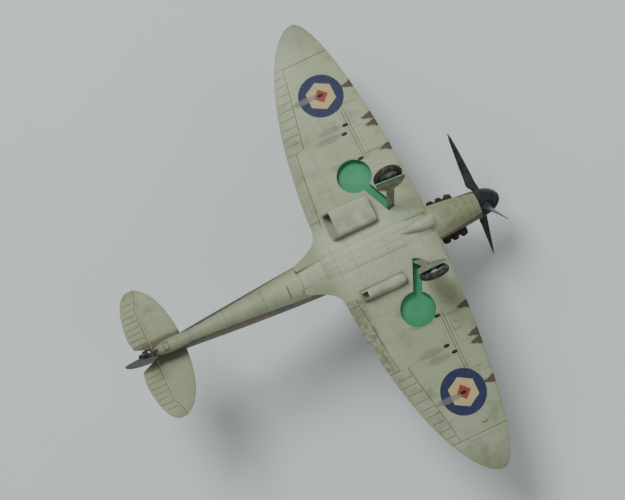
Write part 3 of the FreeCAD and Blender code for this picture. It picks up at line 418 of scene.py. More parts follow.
def wing_top():
    net = Net("camouflage_paint_wing")
    ax, y = net.ax, net.y
    colour = camouflage(net)
    lines = net.line(ax, 65.0, 0.15)
    for at_x in (28.2, 37.65, 46.0, 57.0):
        lines = net.top(lines, net.line(ax, at_x, 0.13) * 0.8)
    hinge = y - 50.05 + (ax - 38.0) * 0.195
    lines = net.top(lines, net.line(hinge, 0.0, 0.16) * net.between(ax, 37.65, 65.0))
    lines = net.top(lines, net.line(y - 55.6 + (ax - 14.5) * 0.118, 0.0, 0.14) * net.between(ax, 13.5, 37.65))
    lines = net.top(lines, net.line(y, 34.3, 0.13) * net.between(ax, 7.0, 64.0) * 0.8)
    rivets = net.line(y, 33.4, 0.14) * net.dots(ax, 0.85) * net.between(ax, 8.0, 66.0)
    ribs = net.line(net.math("PINGPONG", ax, 4.6), 4.6, 0.14) * net.dots(y, 0.85)
    rivets = net.top(rivets, ribs * net.step(y, 50.0, 49.0) * 0.7)
    walk = net.between(ax, 7.5, 17.0, 0.6) * net.between(y, 31.0, 56.0, 0.6)
    colour = net.mix(walk * net.step(net.noise(0.8, 6.0, 0.7), 0.46, 0.66) * 0.5, colour, (0.24, 0.235, 0.20))
    colour = net.mix(net.top(lines, rivets) * 0.6, colour, (0.020, 0.022, 0.018))
    ahead = (36.1 - y) / 12.0
    chips = net.step(net.noise(1.5, 6.0, 0.7) + net.step(ahead, 0.5, 1.0) * 0.06, 0.66, 0.70)
    colour = net.mix(chips * 0.6, colour, (0.34, 0.34, 0.31))
    return net.finish(colour, 0.6, height=net.top(lines, rivets) * -1.2, depth=0.07)


def tail_paint():
    """Sky below and camouflage above, on the tailplane."""
    net = Net("sky_paint_tail")
    ax, y, z = net.ax, net.y, net.z
    sky = worn_sky(net)
    sky = net.mix(0.30, sky, SKY_DIRTY)
    colour = net.mix(net.step(z, 3.75, 3.85), sky, camouflage(net))
    roots = net.step(ax + (net.noise(0.6, 4.0) - 0.5) * 1.2, 5.0, 3.4)
    colour = net.mix(roots * 0.8, colour, DARK_EARTH)
    tips = net.step(ax + (net.noise(0.4, 4.0) - 0.5) * 4.0, 17.5, 22.5)
    colour = net.mix(tips * 0.4, colour, BROWN_DIRT)
    colour = engraved(net, colour, net.groove(), 0.6)
    # painted highlight: the raised ridge ahead of the elevator hinge made paler
    ridge = net.groove("ridge")
    colour = net.mix(ridge * 0.55, colour, (0.52, 0.56, 0.44))
    return net.finish(colour, 0.6)


def rudder_paint():
    net = Net("camouflage_paint_rudder")
    y, z = net.y, net.z
    colour = net.mix(net.step(z + (net.noise(0.4, 3.0) - 0.5), 3.0, 3.6), DARK_EARTH, camouflage(net))
    trailing = net.step(y + (net.noise(0.5, 3.0) - 0.5) * 3, 125.5, 128.5)
    colour = net.mix(trailing, colour, (0.035, 0.033, 0.033))
    ribs = net.line(net.math("PINGPONG", z, 1.15), 1.15, 0.14) * net.step(y, 119.2, 119.8)
    colour = net.mix(ribs * 0.4, colour, WASH_AND_SHADE)
    return net.finish(colour, 0.6, height=ribs * 0.8, depth=0.08)


def plain(name, dark, light, rough=0.5, metal=0.0, scale=0.35, chips=None, chip_share=0.0,
          coat=0.0, depth=0.05):
    """A worn finish between two tones, with chipped spots."""
    net = Net(name)
    tone = net.step(net.noise(scale, 5.0, 0.6), 0.32, 0.70)
    colour = net.mix(tone, dark, light)
    grime = net.step(net.noise(scale * 4, 6.0, 0.7), 0.5, 0.75)
    colour = net.shade(colour, 1.0 - grime * 0.22)
    if chips:
        colour = net.mix(net.step(net.noise(1.3, 6.0, 0.7), 0.60, 0.66) * chip_share, colour, chips)
    return net.finish(colour, rough, metal=metal, coat=coat, depth=depth)


def door_paint(outer_side):
    """Doors: olive-grey outside, green inside, split at the middle of the plate."""
    net = Net("sky_paint_door")
    origin, way, middle = outer_side
    dist = (net.ax - origin[0]) * way[0] + (net.y - origin[1]) * way[1] + (net.z - origin[2]) * way[2]
    grime = net.step(net.noise(0.5, 5.0), 0.35, 0.7)
    outside = net.mix(grime, (0.150, 0.150, 0.098), (0.245, 0.250, 0.175))
    inside = net.mix(net.step(net.noise(0.6, 5.0), 0.4, 0.7), (0.075, 0.29, 0.15), (0.15, 0.40, 0.24))
    colour = net.mix(net.step(dist, middle + 0.12, middle + 0.17), inside, outside)
    # a pale broken line along the door's edge: painted highlight
    rim = net.step(net.size(dist - middle - 0.05), 0.16, 0.08)
    colour = net.mix(rim * net.step(net.noise(1.2, 4.0), 0.40, 0.55) * 0.55, colour, (0.42, 0.50, 0.38))
    return net.finish(colour, 0.55)


def prop_paint():
    net = Net("propeller_black")
    out = net.math("SQRT", net.x * net.x + net.z * net.z)
    tone = net.step(net.noise(0.5, 5.0), 0.35, 0.7)
    colour = net.mix(tone, (0.018, 0.022, 0.024), (0.038, 0.044, 0.047))
    worn = net.step(out + (net.noise(1.2, 4.0) - 0.5) * 3.0, 22.9, 24.2)
    colour = net.mix(worn * 0.65, colour, (0.20, 0.195, 0.16))
    rub = net.step(net.noise(1.5, 6.0, 0.7), 0.63, 0.69)
    colour = net.mix(rub * 0.5, colour, (0.16, 0.15, 0.13))
    return net.finish(colour, 0.66, shine=0.16)


def tyre_rubber():
    net = Net("tyre_black")
    dust = net.step(net.noise(0.7, 6.0, 0.7), 0.42, 0.66)
    colour = net.mix(dust, (0.020, 0.019, 0.018), (0.085, 0.078, 0.066))
    colour = net.mix(net.step(net.noise(2.0, 5.0, 0.7), 0.6, 0.68) * 0.5, colour, (0.15, 0.145, 0.13))
    return net.finish(colour, 0.75, depth=0.10)


def exhaust_rust():
    net = Net("exhaust_rust")
    tone = net.step(net.noise(0.9, 6.0, 0.65), 0.35, 0.65)
    colour = net.mix(tone, (0.036, 0.026, 0.023), (0.085, 0.050, 0.040))
    colour = net.mix(net.step(net.noise(2.2, 5.0), 0.55, 0.7) * 0.6, colour, (0.025, 0.022, 0.020))
    return net.finish(colour, 0.85, depth=0.12, shine=0.12)


def clear_glass():
    """Clear plastic with painted frames."""
    net = Net("clear_plastic")
    y, z, ax = net.y, net.z, net.ax
    frames = net.line(y, 48.55, 0.7)
    for station in (49.05, 54.6, 60.2, 61.1, 68.1, 44.1):
        frames = net.top(frames, net.line(y, station, 0.6))
    frames = net.top(frames, net.step(z, 8.75, 8.6))
    rail = net.line(z, 11.2 - net.step(y, 44.0, 49.0) * 0.4, 0.32)
    frames = net.top(frames, rail * net.step(y, 61.0, 60.5))
    frames = net.top(frames, net.line(ax, 1.2, 0.25) * net.step(y, 48.6, 48.2))
    frames = net.step(frames, 0.45, 0.55)
    paint = net.mix(net.noise(0.8, 4.0), DARK_EARTH, (0.16, 0.12, 0.08))
    smear = net.step(net.noise(0.5, 6.0, 0.7), 0.5, 0.8)
    glass_tint = net.mix(smear, (0.80, 0.86, 0.86), (0.70, 0.75, 0.74))
    colour = net.mix(frames, glass_tint, paint)
    net.finish(colour, 0.5, depth=0.01, strength=0.3)
    net.put(net.bsdf.inputs["Roughness"], 0.05 + frames * 0.5 + smear * 0.06)
    clear = 1.0 - frames
    net.put(net.bsdf.inputs["Transmission Weight"], clear * 0.35)
    net.put(net.bsdf.inputs["Alpha"], frames * 0.72 + smear * 0.06 + 0.22)
    net.put(net.bsdf.inputs["IOR"], 1.3)
    return net.mat


def matrix_mesh():
    """A cooler's honeycomb face, its cells painted near-black as painted shade with brownish walls between.
    """
    net = Net("metal_matrix_painted_shade")
    cell = net.new("ShaderNodeTexVoronoi", feature="DISTANCE_TO_EDGE")
    net.put(cell.inputs["Vector"], net.at)
    net.put(cell.inputs["Scale"], 2.0)
    # the cell interiors get the near-black: painted shade in the honeycomb's openings
    cell_shade = net.step(W(net, cell.outputs[0]), 0.05, 0.15)
    colour = net.mix(cell_shade, (0.19, 0.16, 0.11), (0.018, 0.018, 0.018))
    return net.finish(colour, 0.55, height=cell_shade * -2.0, metal=0.3, depth=0.15)


# ------------------------------------------------------------------ wing and tail shapes
SPAN, SPAR_Y, DIHEDRAL, PLANE_Z = 77.8, 36.1, math.radians(6.0), -9.75
ROOT_THICK, TIP_THICK, CAMBER = 0.128, 0.070, 0.016


def wing_rear(x):
    return SPAR_Y + 23.4 * np.maximum(0.0, 1.0 - (x / SPAN) ** 1.95) ** 0.56


def wing_front(x):
    return SPAR_Y - 12.0 * np.sqrt(np.maximum(0.0, 1.0 - (x / SPAN) ** 2))


def wing_back(x):
    reach = np.clip((13.5 - x) / 8.5, 0.0, 1.0)
    return wing_rear(x) + 9.5 * reach ** 3


def thickness_form(share):
    return 5 * (0.2969 * np.sqrt(share) - 0.1260 * share - 0.3516 * share ** 2
                + 0.2843 * share ** 3 - 0.1036 * share ** 4)


def wing_lower_z(x, y):
    """Height of the flat wing's underside over its chord plane."""
    front, back = wing_front(x), wing_back(x)
    share = np.clip((y - front) / (back - front), 0.0, 1.0)
    chord = wing_rear(x) - front
    thick = ROOT_THICK * (1 - x / SPAN) + TIP_THICK * x / SPAN
    half = np.maximum(thickness_form(share) * thick * chord, 0.02)
    return 4 * CAMBER * chord * share * (1 - share) - half


def to_dihedral(points, side=1):
    """From the flat wing to its place on the aeroplane; side -1 mirrors it to starboard."""
    c, s = math.cos(DIHEDRAL), math.sin(DIHEDRAL)
    out = points.copy()
    out[:, 0] = points[:, 0] * c - points[:, 2] * s
    out[:, 2] = points[:, 0] * s + points[:, 2] * c + PLANE_Z
    out[:, 0] *= side
    return out


def mesh_object(name, points, faces, materials, smooth=True, attributes=None):
    """A mesh piece from points in the aeroplane's axes."""
    mesh = bpy.data.meshes.new(name)
    mesh.from_pydata(to_row(points).tolist(), [], faces)
    mesh.update()
    for key, values in (attributes or {}).items():
        layer = mesh.attributes.new(key, "FLOAT", "POINT")
        layer.data.foreach_set("value", np.asarray(values, np.float32))
    for material in materials:
        mesh.materials.append(material)
    if smooth:
        mesh.polygons.foreach_set("use_smooth", [True] * len(mesh.polygons))
    piece = bpy.data.objects.new(name, mesh)
    bpy.context.scene.collection.objects.link(piece)
    return piece


def place(piece, body, slot, *replaced):
    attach(piece, body)
    if replaced:
        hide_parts(*replaced)
    return piece


def grid_faces(rows, columns, offset=0, flip=False):
    """Quads over a grid of rows x columns of points."""
    faces = []
    for r in range(rows - 1):
        for c in range(columns - 1):
            a = offset + r * columns + c
            quad = (a, a + 1, a + columns + 1, a + columns)
            faces.append(quad[::-1] if flip else quad)
    return faces


LINE_HALF, LINE_FLOOR = 0.15, 0.055
HINGE_X = [8.0, 14.5, 28.9, 37.60, 37.72, 44.5, 51.0, 57.0, 65.0]
HINGE_Y = [56.6, 55.6, 54.0, 52.87, 50.1, 48.75, 47.5, 46.3, 44.8]
RIBS = (40.6, 43.1, 45.9, 48.9, 51.7, 54.2, 56.9, 59.8, 62.5)


def hinge_y(x):
    held = np.minimum(x, 65.0)
    y = np.interp(held, HINGE_X, HINGE_Y)
    share = (y - wing_front(held)) / (wing_back(held) - wing_front(held))
    return wing_front(x) + share * (wing_back(x) - wing_front(x))


def spar_y(x, at):
    held = np.minimum(x, 62.0)
    share = (at - wing_front(held)) / (wing_back(held) - wing_front(held))
    return wing_front(x) + share * (wing_back(x) - wing_front(x))


# chordwise lines: x, start y, end y, depth
CHORD_LINES = [(65.0, 0, 99, 0.10), (37.66, "hinge", 99, 0.12), (28.0, 0, 33.4, 0.06),
               (46.0, 28.0, 33.4, 0.05), (14.5, "hinge", 99, 0.10), (23.0, "hinge", 99, 0.05)]
CHORD_LINES += [(rib, "rib", "rib", 0.09) for rib in RIBS]


def wing_skin():
    """The underside skin of the left wing as a closed slab up to the chord plane."""
    to_tip = np.linspace(math.asin(60.6 / SPAN), math.asin(77.72 / SPAN), 30)
    base = list(np.linspace(3.0, 60.0, 92)) + list(SPAN * np.sin(to_tip))
    columns = {round(v, 3) for v in base}
    for line in CHORD_LINES:
        columns = {v for v in columns if abs(v - line[0]) > LINE_HALF + 0.05}
    columns = {v for v in columns if not 37.45 < v < 37.85}
    for line in CHORD_LINES:
        columns |= {round(line[0] + d, 3) for d in (-LINE_HALF, -LINE_FLOOR, LINE_FLOOR, LINE_HALF)}
    x = np.array(sorted(columns))
    front, back = wing_front(x), wing_back(x)
    keys = [spar_y(x, 33.4), spar_y(x, 34.3), hinge_y(x)]
    rows, floor_rows = [], {}
    first = keys[0] - LINE_HALF
    for share in 0.5 * (1 - np.cos(np.pi * np.linspace(0, 0.5, 20))) * 2:
        rows.append(front + (first - front) * share)
    for number, key in enumerate(keys):
        for shift in (-LINE_FLOOR, LINE_FLOOR):
            floor_rows[len(rows)] = number
            rows.append(key + shift)
        rows.append(key + LINE_HALF)
        if number < len(keys) - 1:
            target = keys[number + 1] - LINE_HALF
            count = 2 if number == 0 else 30
            for share in np.linspace(0, 1, count + 1)[1:]:
                rows.append(key + LINE_HALF + (target - key - LINE_HALF) * share)
    last = rows[-1]
    for share in np.linspace(0, 1, 16)[1:]:
        rows.append(last + (back - last) * share)
    y = np.minimum(np.array(rows), back)
    grid_x = np.tile(x, (len(rows), 1))
    depth = np.zeros_like(y)
    limits = {0: (26.6, 46.0, 0.09), 1: (26.6, 46.0, 0.09), 2: (12.5, 65.0, 0.14)}
    for row, key in floor_rows.items():
        low, high, deep = limits[key]
        depth[row] = np.where((x >= low) & (x <= high), deep, 0.0)
    for at, start, end, deep in CHORD_LINES:
        for c in np.flatnonzero(np.abs(x - at) < LINE_FLOOR + 0.01):
            lo = {"hinge": keys[2][c], "rib": keys[2][c] + 0.45}.get(start, start)
            hi = {"rib": back[c] - 0.7}.get(end, end)
            on = (y[:, c] >= lo - 0.06) & (y[:, c] <= hi)
            depth[on, c] = np.maximum(depth[on, c], deep)
    z = wing_lower_z(grid_x, y)
    # the lines are shallower where the skin thins out
    thin = np.minimum(1.0, np.abs(z) / 0.35)
    lower = np.stack([grid_x, y, z + depth * thin], -1)
    inner = np.stack([grid_x, y, np.zeros_like(z)], -1)
    count = len(x)
    points = np.concatenate([lower.reshape(-1, 3), inner.reshape(-1, 3)])
    groove = np.concatenate([(depth > 0).ravel() * np.clip(depth.ravel() / 0.09, 0.5, 1.0), np.zeros(y.size)])
    n = y.size
    faces = grid_faces(len(rows), count, flip=True) + grid_faces(len(rows), count, offset=n)
    for c in range(count - 1):
        faces.append((c, c + 1, n + c + 1, n + c))
        a = (len(rows) - 1) * count + c
        faces.append((a + 1, a, n + a, n + a + 1))
    for r in range(len(rows) - 1):
        a = r * count
        faces.append((a + count, a, n + a, n + a + count))
        a = r * count + count - 1
        faces.append((a, a + count, n + a + count, n + a))
    return points, faces, groove


WELL_X, WELL_Y, WELL_R = 22.85, 39.8, 5.45
PIVOT_X, PIVOT_Y, SLOT_HALF, SLOT_BACK = 9.4, 34.0, 1.35, 0.85


def keyhole_outline(grow, steps=56):
    """The wheel well's outline, a circle with a straight slot for the leg."""
    way = np.array([WELL_X - PIVOT_X, WELL_Y - PIVOT_Y])
    way = way / np.linalg.norm(way)
    side = np.array([-way[1], way[0]])
    radius, wide = WELL_R + grow, SLOT_HALF + grow
    centre = np.array([WELL_X, WELL_Y])
    opening = math.asin(wide / radius)
    outline = []
    for k in range(steps + 1):
        turn = -math.pi + opening + (2 * math.pi - 2 * opening) * k / steps
        outline.append(centre + radius * (way * math.cos(turn) + side * math.sin(turn)))
    start = np.array([PIVOT_X, PIVOT_Y]) - way * (SLOT_BACK + grow)
    outline.append(start + side * wide)
    outline.append(start - side * wide)
    return outline


def prism(name, outline, low, high, material, side):
    """An upright closed block over an outline in the flat wing's plane."""
    n = len(outline)
    points = np.array([(p[0], p[1], low) for p in outline] + [(p[0], p[1], high) for p in outline])
    faces = [tuple(range(n))[::-1], tuple(range(n, 2 * n))]
    faces += [(k, (k + 1) % n, n + (k + 1) % n, n + k) for k in range(n)]
    if side < 0:
        faces = [face[::-1] for face in faces]
    return mesh_object(name, to_dihedral(points, side), faces, [material], smooth=False)


def cut(piece, tool, values):
    """Cuts the tool out of the piece and carries the named point values over."""
    cutter = piece.modifiers.new("cut", "BOOLEAN")
    cutter.object = tool
    cutter.operation = "DIFFERENCE"
    cutter.solver = "EXACT"
    cutter.material_mode = "TRANSFER"
    bpy.context.view_layer.update()
    graph = bpy.context.evaluated_depsgraph_get()
    mesh = bpy.data.meshes.new_from_object(
        piece.evaluated_get(graph), preserve_all_data_layers=True, depsgraph=graph)
    tree = KDTree(len(piece.data.vertices))
    for vertex in piece.data.vertices:
        tree.insert(vertex.co, vertex.index)
    tree.balance()
    for key, old in values.items():
        if key in mesh.attributes:
            mesh.attributes.remove(mesh.attributes[key])
        layer = mesh.attributes.new(key, "FLOAT", "POINT")
        fresh = np.zeros(len(mesh.vertices), np.float32)
        for vertex in mesh.vertices:
            _, index, far = tree.find(vertex.co)
            if far < 2e-6:
                fresh[vertex.index] = old[index]
        layer.data.foreach_set("value", fresh)
    piece.modifiers.clear()
    piece.data = mesh
    bpy.data.objects.remove(tool)


# ------------------------------------------------------------------ materials
sky_wing = wing_under()
fuselage_skin = fuselage_paint()
top_paint = wing_top()
tail_skin = tail_paint()
rudder_skin = rudder_paint()
green = plain("interior_green", (0.050, 0.285, 0.135), (0.072, 0.340, 0.172), 0.6,
              scale=0.15, chips=(0.03, 0.07, 0.045), chip_share=0.12)
cockpit_green = plain("cockpit_green", (0.17, 0.23, 0.14), (0.25, 0.31, 0.20), 0.6,
                      chips=(0.3, 0.3, 0.28), chip_share=0.4)
duct_paint = plain("sky_paint_duct", (0.330, 0.350, 0.235), (0.470, 0.500, 0.375), 0.58,
                   scale=0.22, chips=(0.16, 0.15, 0.10), chip_share=0.4)
steel_paint = plain("steel_paint", (0.20, 0.21, 0.20), (0.34, 0.35, 0.33), 0.45,
                    chips=(0.08, 0.07, 0.06), chip_share=0.4)
steel = plain("steel_wire", (0.35, 0.35, 0.34), (0.55, 0.55, 0.53), 0.32, metal=0.9, scale=0.8)
dark_metal = plain("dark_metal", (0.030, 0.030, 0.030), (0.085, 0.080, 0.075), 0.5,
                   chips=(0.2, 0.18, 0.15), chip_share=0.35)
seat_brown = plain("seat_brown", (0.055, 0.030, 0.018), (0.120, 0.065, 0.036), 0.6)
leg_paint = plain("steel_paint_leg", (0.05, 0.13, 0.08), (0.12, 0.22, 0.14), 0.5,
                  chips=(0.3, 0.3, 0.28), chip_share=0.35)
propeller_black = prop_paint()
rubber = tyre_rubber()
rust = exhaust_rust()
glass = clear_glass()
mesh_face = matrix_mesh()

# ------------------------------------------------------------------ wing underside
points, faces, groove = wing_skin()
n = len(points)
left_under = to_dihedral(points, 1)
right_under = to_dihedral(points, -1)
for side_name, pts, side in (("left", left_under, 1), ("right", right_under, -1)):
    side_faces = faces if side > 0 else [f[::-1] for f in faces]
    skin = mesh_object("wing_under_" + side_name, pts, side_faces, [sky_wing, green],
                       attributes={"groove": groove})
    tool = prism("keyhole_tool", keyhole_outline(0.03), -8.0, 3.0, green, side)
    cut(skin, tool, {"groove": groove})
    place(skin, "airframe", "sky_paint", "wing_lower")
    skin.modifiers.new("weighted", "WEIGHTED_NORMAL").keep_sharp = True

# the belly between the wings, below the fuselage
# station, half width, bottom, height of the widest point, squareness of the keel
FUSELAGE = [(21.0, 5.45, -10.00, -1.50, 2.60), (27.0, 5.75, -11.15, -1.90, 3.20),
            (35.0, 6.05, -11.60, -2.00, 4.00), (43.0, 6.25, -11.50, -1.90, 3.50),
            (52.0, 6.25, -11.20, -1.60, 3.00), (61.0, 6.15, -10.60, -1.10, 2.70),
            (70.0, 5.80, -9.10, -0.40, 2.40)]


def fuselage_values(y):
    table = np.array(FUSELAGE)
    return [np.interp(y, table[:, 0], table[:, k]) for k in range(1, 5)]


belly_rows = []
for y in np.linspace(25.5, 61.0, 61):
    wide, bottom, middle, keel = fuselage_values(y)
    share = min(0.999, abs((-9.2 - middle) / (bottom - middle)))
    reach = wide * (1 - share ** keel) ** (1 / keel)
    for across in np.linspace(-1, 1, 25):
        x = reach * math.sin(across * math.pi / 2)
        drop = (1 - (abs(x) / wide) ** keel) ** (1 / keel)
        belly_rows.append((x, y, middle + (bottom - middle) * drop))
belly_points = np.array(belly_rows)
inner = belly_points.copy()
inner[:, 2] = np.minimum(-9.2, inner[:, 2] + 1.2)
m = len(belly_points)
belly_faces = grid_faces(61, 25, flip=True) + grid_faces(61, 25, offset=m)
for r in range(60):
    belly_faces.append((r * 25 + 25, r * 25, m + r * 25, m + r * 25 + 25))
    belly_faces.append((r * 25 + 24, r * 25 + 49, m + r * 25 + 49, m + r * 25 + 24))
for c in range(24):
    belly_faces.append((c, c + 1, m + c + 1, m + c))
    belly_faces.append((60 * 25 + c + 1, 60 * 25 + c, m + 60 * 25 + c, m + 60 * 25 + c + 1))
belly = mesh_object("belly_panel", np.concatenate([belly_points, inner]), belly_faces, [sky_wing],
                    attributes={"groove": np.zeros(2 * m)})
place(belly, "airframe", "sky_paint", "wing_lower")

# ------------------------------------------------------------------ tailplanes
TAIL_HALF, TAIL_LINE, TAIL_Z, TAIL_THICK = 21.5, 118.6, 3.8, 0.095
ELEVATOR_RIBS = (4.3, 6.2, 8.1, 10.0, 11.9, 13.8, 15.7, 17.6)


def tail_front(x):
    return TAIL_LINE - 9.7 * np.sqrt(np.maximum(0, 1 - (x / TAIL_HALF) ** 2.15))


def tail_back(x):
    back = TAIL_LINE + 6.5 * np.sqrt(np.maximum(0, 1 - (x / TAIL_HALF) ** 3))
    return back - 2.5 * np.maximum(0, 1 - x / 9.0) ** 2


def tail_hinge(x):
    """The elevator's hinge line, bent forward round the horn at its outer end."""
    line = np.interp(x, [0.0, 15.6, 16.6, 21.6], [118.95, 118.9, 117.9, 116.4])
    front, back = tail_front(x), tail_back(x)
    return np.clip(line, front + 0.10 * (back - front), back - 0.10 * (back - front))


def tail_skin_shape():
    to_tip = np.linspace(math.asin(17.4 / TAIL_HALF), math.asin(21.38 / TAIL_HALF), 14)
    base = list(np.linspace(1.4, 17.0, 36)) + list(TAIL_HALF * np.sin(to_tip))
    base = set(np.round(base, 3))
    base = {v for v in base if all(abs(v - rib) > 0.22 for rib in ELEVATOR_RIBS)}
    for rib in ELEVATOR_RIBS:
        base |= {round(rib + d, 3) for d in (-0.17, -0.06, 0.06, 0.17)}
    x = np.array(sorted(base))
    front, back, hinge = tail_front(x), tail_back(x), tail_hinge(x)
    cut_back = np.where(x < 4.6, 118.5 + (x - 1.4) * 2.5, 999.0)
    forward = 0.5 * (1 - np.cos(np.pi * np.linspace(0, 0.5, 16))) * 2
    rows = [front + (hinge - 0.35 - front) * s for s in forward]
    # 0 plain skin, 1 raised ridge, 2 hinge groove, 3 elevator, which carries the rib lines
    kinds = [0] * 16
    for shift, kind in ((-0.28, 1), (-0.12, 1), (0.02, 0), (0.10, 2), (0.22, 2), (0.36, 0)):
        rows.append(hinge + shift)
        kinds.append(kind)
    for s in np.linspace(0, 1, 13)[1:]:
        rows.append(hinge + 0.36 + (back - hinge - 0.36) * s)
        kinds.append(3)
    y = np.minimum(np.array(rows), back)
    y = np.minimum(y, cut_back)
    grid_x = np.tile(x, (len(rows), 1))
    chord = back - front
    share = np.clip((y - front) / chord, 0, 1)
    half = np.maximum(thickness_form(share) * TAIL_THICK * chord, 0.06)
    kind_grid = np.array(kinds)[:, None] * np.ones_like(grid_x)
    inboard = (grid_x > 2.2)
    ridge = (kind_grid == 1) & inboard
    groove = ((kind_grid == 2) & inboard).astype(float)
    rib = np.zeros_like(half)
    for at in ELEVATOR_RIBS:
        c = np.abs(x - at) < 0.07
        rib[:, c] = 1.0
    rib *= (kind_grid == 3) & (y < back - 0.5)
    half = half + ridge * 0.09 - groove * 0.10 - rib * 0.07
    lower = np.stack([grid_x, y, TAIL_Z - half], -1).reshape(-1, 3)
    upper = np.stack([grid_x, y, TAIL_Z + half], -1).reshape(-1, 3)
    rows_n, cols = len(rows), len(x)
    n = rows_n * cols
    faces = grid_faces(rows_n, cols, flip=True) + grid_faces(rows_n, cols, offset=n)
    for c in range(cols - 1):
        faces.append((c, c + 1, n + c + 1, n + c))
        a = (rows_n - 1) * cols + c
        faces.append((a + 1, a, n + a, n + a + 1))
    for r in range(rows_n - 1):
        a = r * cols
        faces.append((a + cols, a, n + a, n + a + cols))
        a += cols - 1
        faces.append((a, a + cols, n + a + cols, n + a))
    marks = np.maximum(groove, rib).ravel()
    return np.concatenate([lower, upper]), faces, np.tile(marks, 2), np.tile(ridge.astype(float).ravel(), 2)


tail_points, tail_faces, tail_groove, tail_ridge = tail_skin_shape()
for side_name, side in (("left", 1), ("right", -1)):
    pts = tail_points * np.array([side, 1, 1])
    side_faces = tail_faces if side > 0 else [f[::-1] for f in tail_faces]
    piece = mesh_object("tailplane_skin_" + side_name, pts, side_faces, [tail_skin],
                        attributes={"groove": tail_groove, "ridge": tail_ridge})
    place(piece, "airframe", "sky_paint", "tailplane_" + side_name)


# ------------------------------------------------------------------ wheels
def turned(name, profile, centre, axis, materials, steps=72, close=True, pick=None):
    """A ring or disc turned about an axis. The profile holds (radius, height) pairs."""
    axis = axis.normalized()
    side = axis.orthogonal().normalized()
    other = axis.cross(side)
    points, faces = [], []
    count = len(profile)
    for s in range(steps):
        a = 2 * math.pi * s / steps
        out = side * math.cos(a) + other * math.sin(a)
        for radius, height in profile:
            points.append(tuple(centre + (out * radius + axis * height) / 1000))
    span = count if close else count - 1
    for s in range(steps):
        for k in range(span):
            a, b = s * count + k, s * count + (k + 1) % count
            c, d = ((s + 1) % steps) * count + (k + 1) % count, ((s + 1) % steps) * count + k
            faces.append((a, b, c, d))
    mesh = bpy.data.meshes.new(name)
    mesh.from_pydata(points, [], faces)
    for material in materials:
        mesh.materials.append(material)
    if pick:
        for polygon in mesh.polygons:
            polygon.material_index = pick(polygon.index % span)
    mesh.polygons.foreach_set("use_smooth", [True] * len(mesh.polygons))
    mesh.update()
    piece = bpy.data.objects.new(name, mesh)
    bpy.context.scene.collection.objects.link(piece)
    return piece


TYRE_PROFILE = []
for k in range(30):
    a = 2 * math.pi * k / 30
    radius, height = 3.65 + 1.05 * math.cos(a), 1.03 * math.sin(a)
    tread = abs(height) < 0.62 and math.cos(a) > 0
    TYRE_PROFILE.append((radius - (0.07 if tread and k % 2 else 0.0), height))
TYRE_PROFILE = [p for p in TYRE_PROFILE if p[0] > 2.92] + [(2.92, -0.70), (2.92, 0.70)]
TYRE_PROFILE = sorted(TYRE_PROFILE, key=lambda p: math.atan2(p[1], p[0] - 3.65))
HUB_PROFILE = [(0.44, -0.78), (0.85, -0.78), (0.95, -0.50), (1.25, -0.36), (2.15, -0.36),
               (2.45, -0.52), (2.62, -0.62), (2.91, -0.62), (2.91, 0.62), (2.62, 0.62),
               (2.45, 0.52), (2.15, 0.36), (1.25, 0.36), (0.95, 0.55), (0.85, 0.86), (0.44, 0.86)]
axle_left = Vector(joints["wheel_left_spin"]["axis"])
for side_name, side in (("left", 1), ("right", -1)):
    joint = joints["wheel_%s_spin" % side_name]
    centre, axis = Vector(joint["pos_m"]), Vector(joint["axis"])
    tyre = turned("tyre_tread_" + side_name, TYRE_PROFILE, centre, axis, [rubber], steps=96)
    place(tyre, "wheel_" + side_name, "tyre_black", "tyre_" + side_name)
    hub = turned("hub_disc_" + side_name, HUB_PROFILE, centre, axis, [steel_paint], steps=60)
    place(hub, "wheel_" + side_name, "steel_paint", "wheel_hub_" + side_name)

# ------------------------------------------------------------------ finishes for the CAD nodes that show
pivot = to_air(joints["gear_left_fold"]["pos_m"])
axle = np.array([axle_left.x, 0.0, 0.0])
axle[1] = axle_left.y * COS - axle_left.z * SIN
axle[2] = axle_left.y * SIN + axle_left.z * COS
door_skin = door_paint((pivot, axle, 0.1 + 0.225))

FINISHES = {
    "fuselage_left": fuselage_skin, "fuselage_right": fuselage_skin, "wing_upper_left": top_paint,
    "wing_upper_right": top_paint, "wheel_well_left": green, "wheel_well_right": green, "rudder": rudder_skin,
    "propeller": propeller_black, "spinner": propeller_black, "spinner_backplate": propeller_black,
    "prop_bush": dark_metal, "prop_collar": dark_metal, "prop_shaft": steel, "gear_leg_left": leg_paint,
    "gear_leg_right": leg_paint, "gear_pin_left": steel, "gear_pin_right": steel, "gear_door_left": door_skin,
    "gear_door_right": door_skin, "tail_wheel_leg": dark_metal, "tail_tyre": rubber, "tail_hub": steel_paint,
    "radiator_housing": duct_paint, "radiator_matrix": mesh_face, "oil_cooler_housing": duct_paint,
    "oil_cooler_matrix": mesh_face, "carburettor_intake": duct_paint,
    "exhaust_left": rust, "exhaust_right": rust,
    "windscreen": glass, "sliding_hood": glass, "rear_glazing": glass, "cockpit_floor": cockpit_green,
    "instrument_panel": dark_metal, "cockpit_bulkhead": cockpit_green,
    "seat": seat_brown, "headrest": seat_brown,
    "control_column": dark_metal, "gunsight": dark_metal, "aerial_mast": dark_metal, "pitot_base": duct_paint,
}
for name, material in FINISHES.items():
    node = nodes[name]
    if not node.hide_render:
        node.data.materials.clear()
        node.data.materials.append(material)

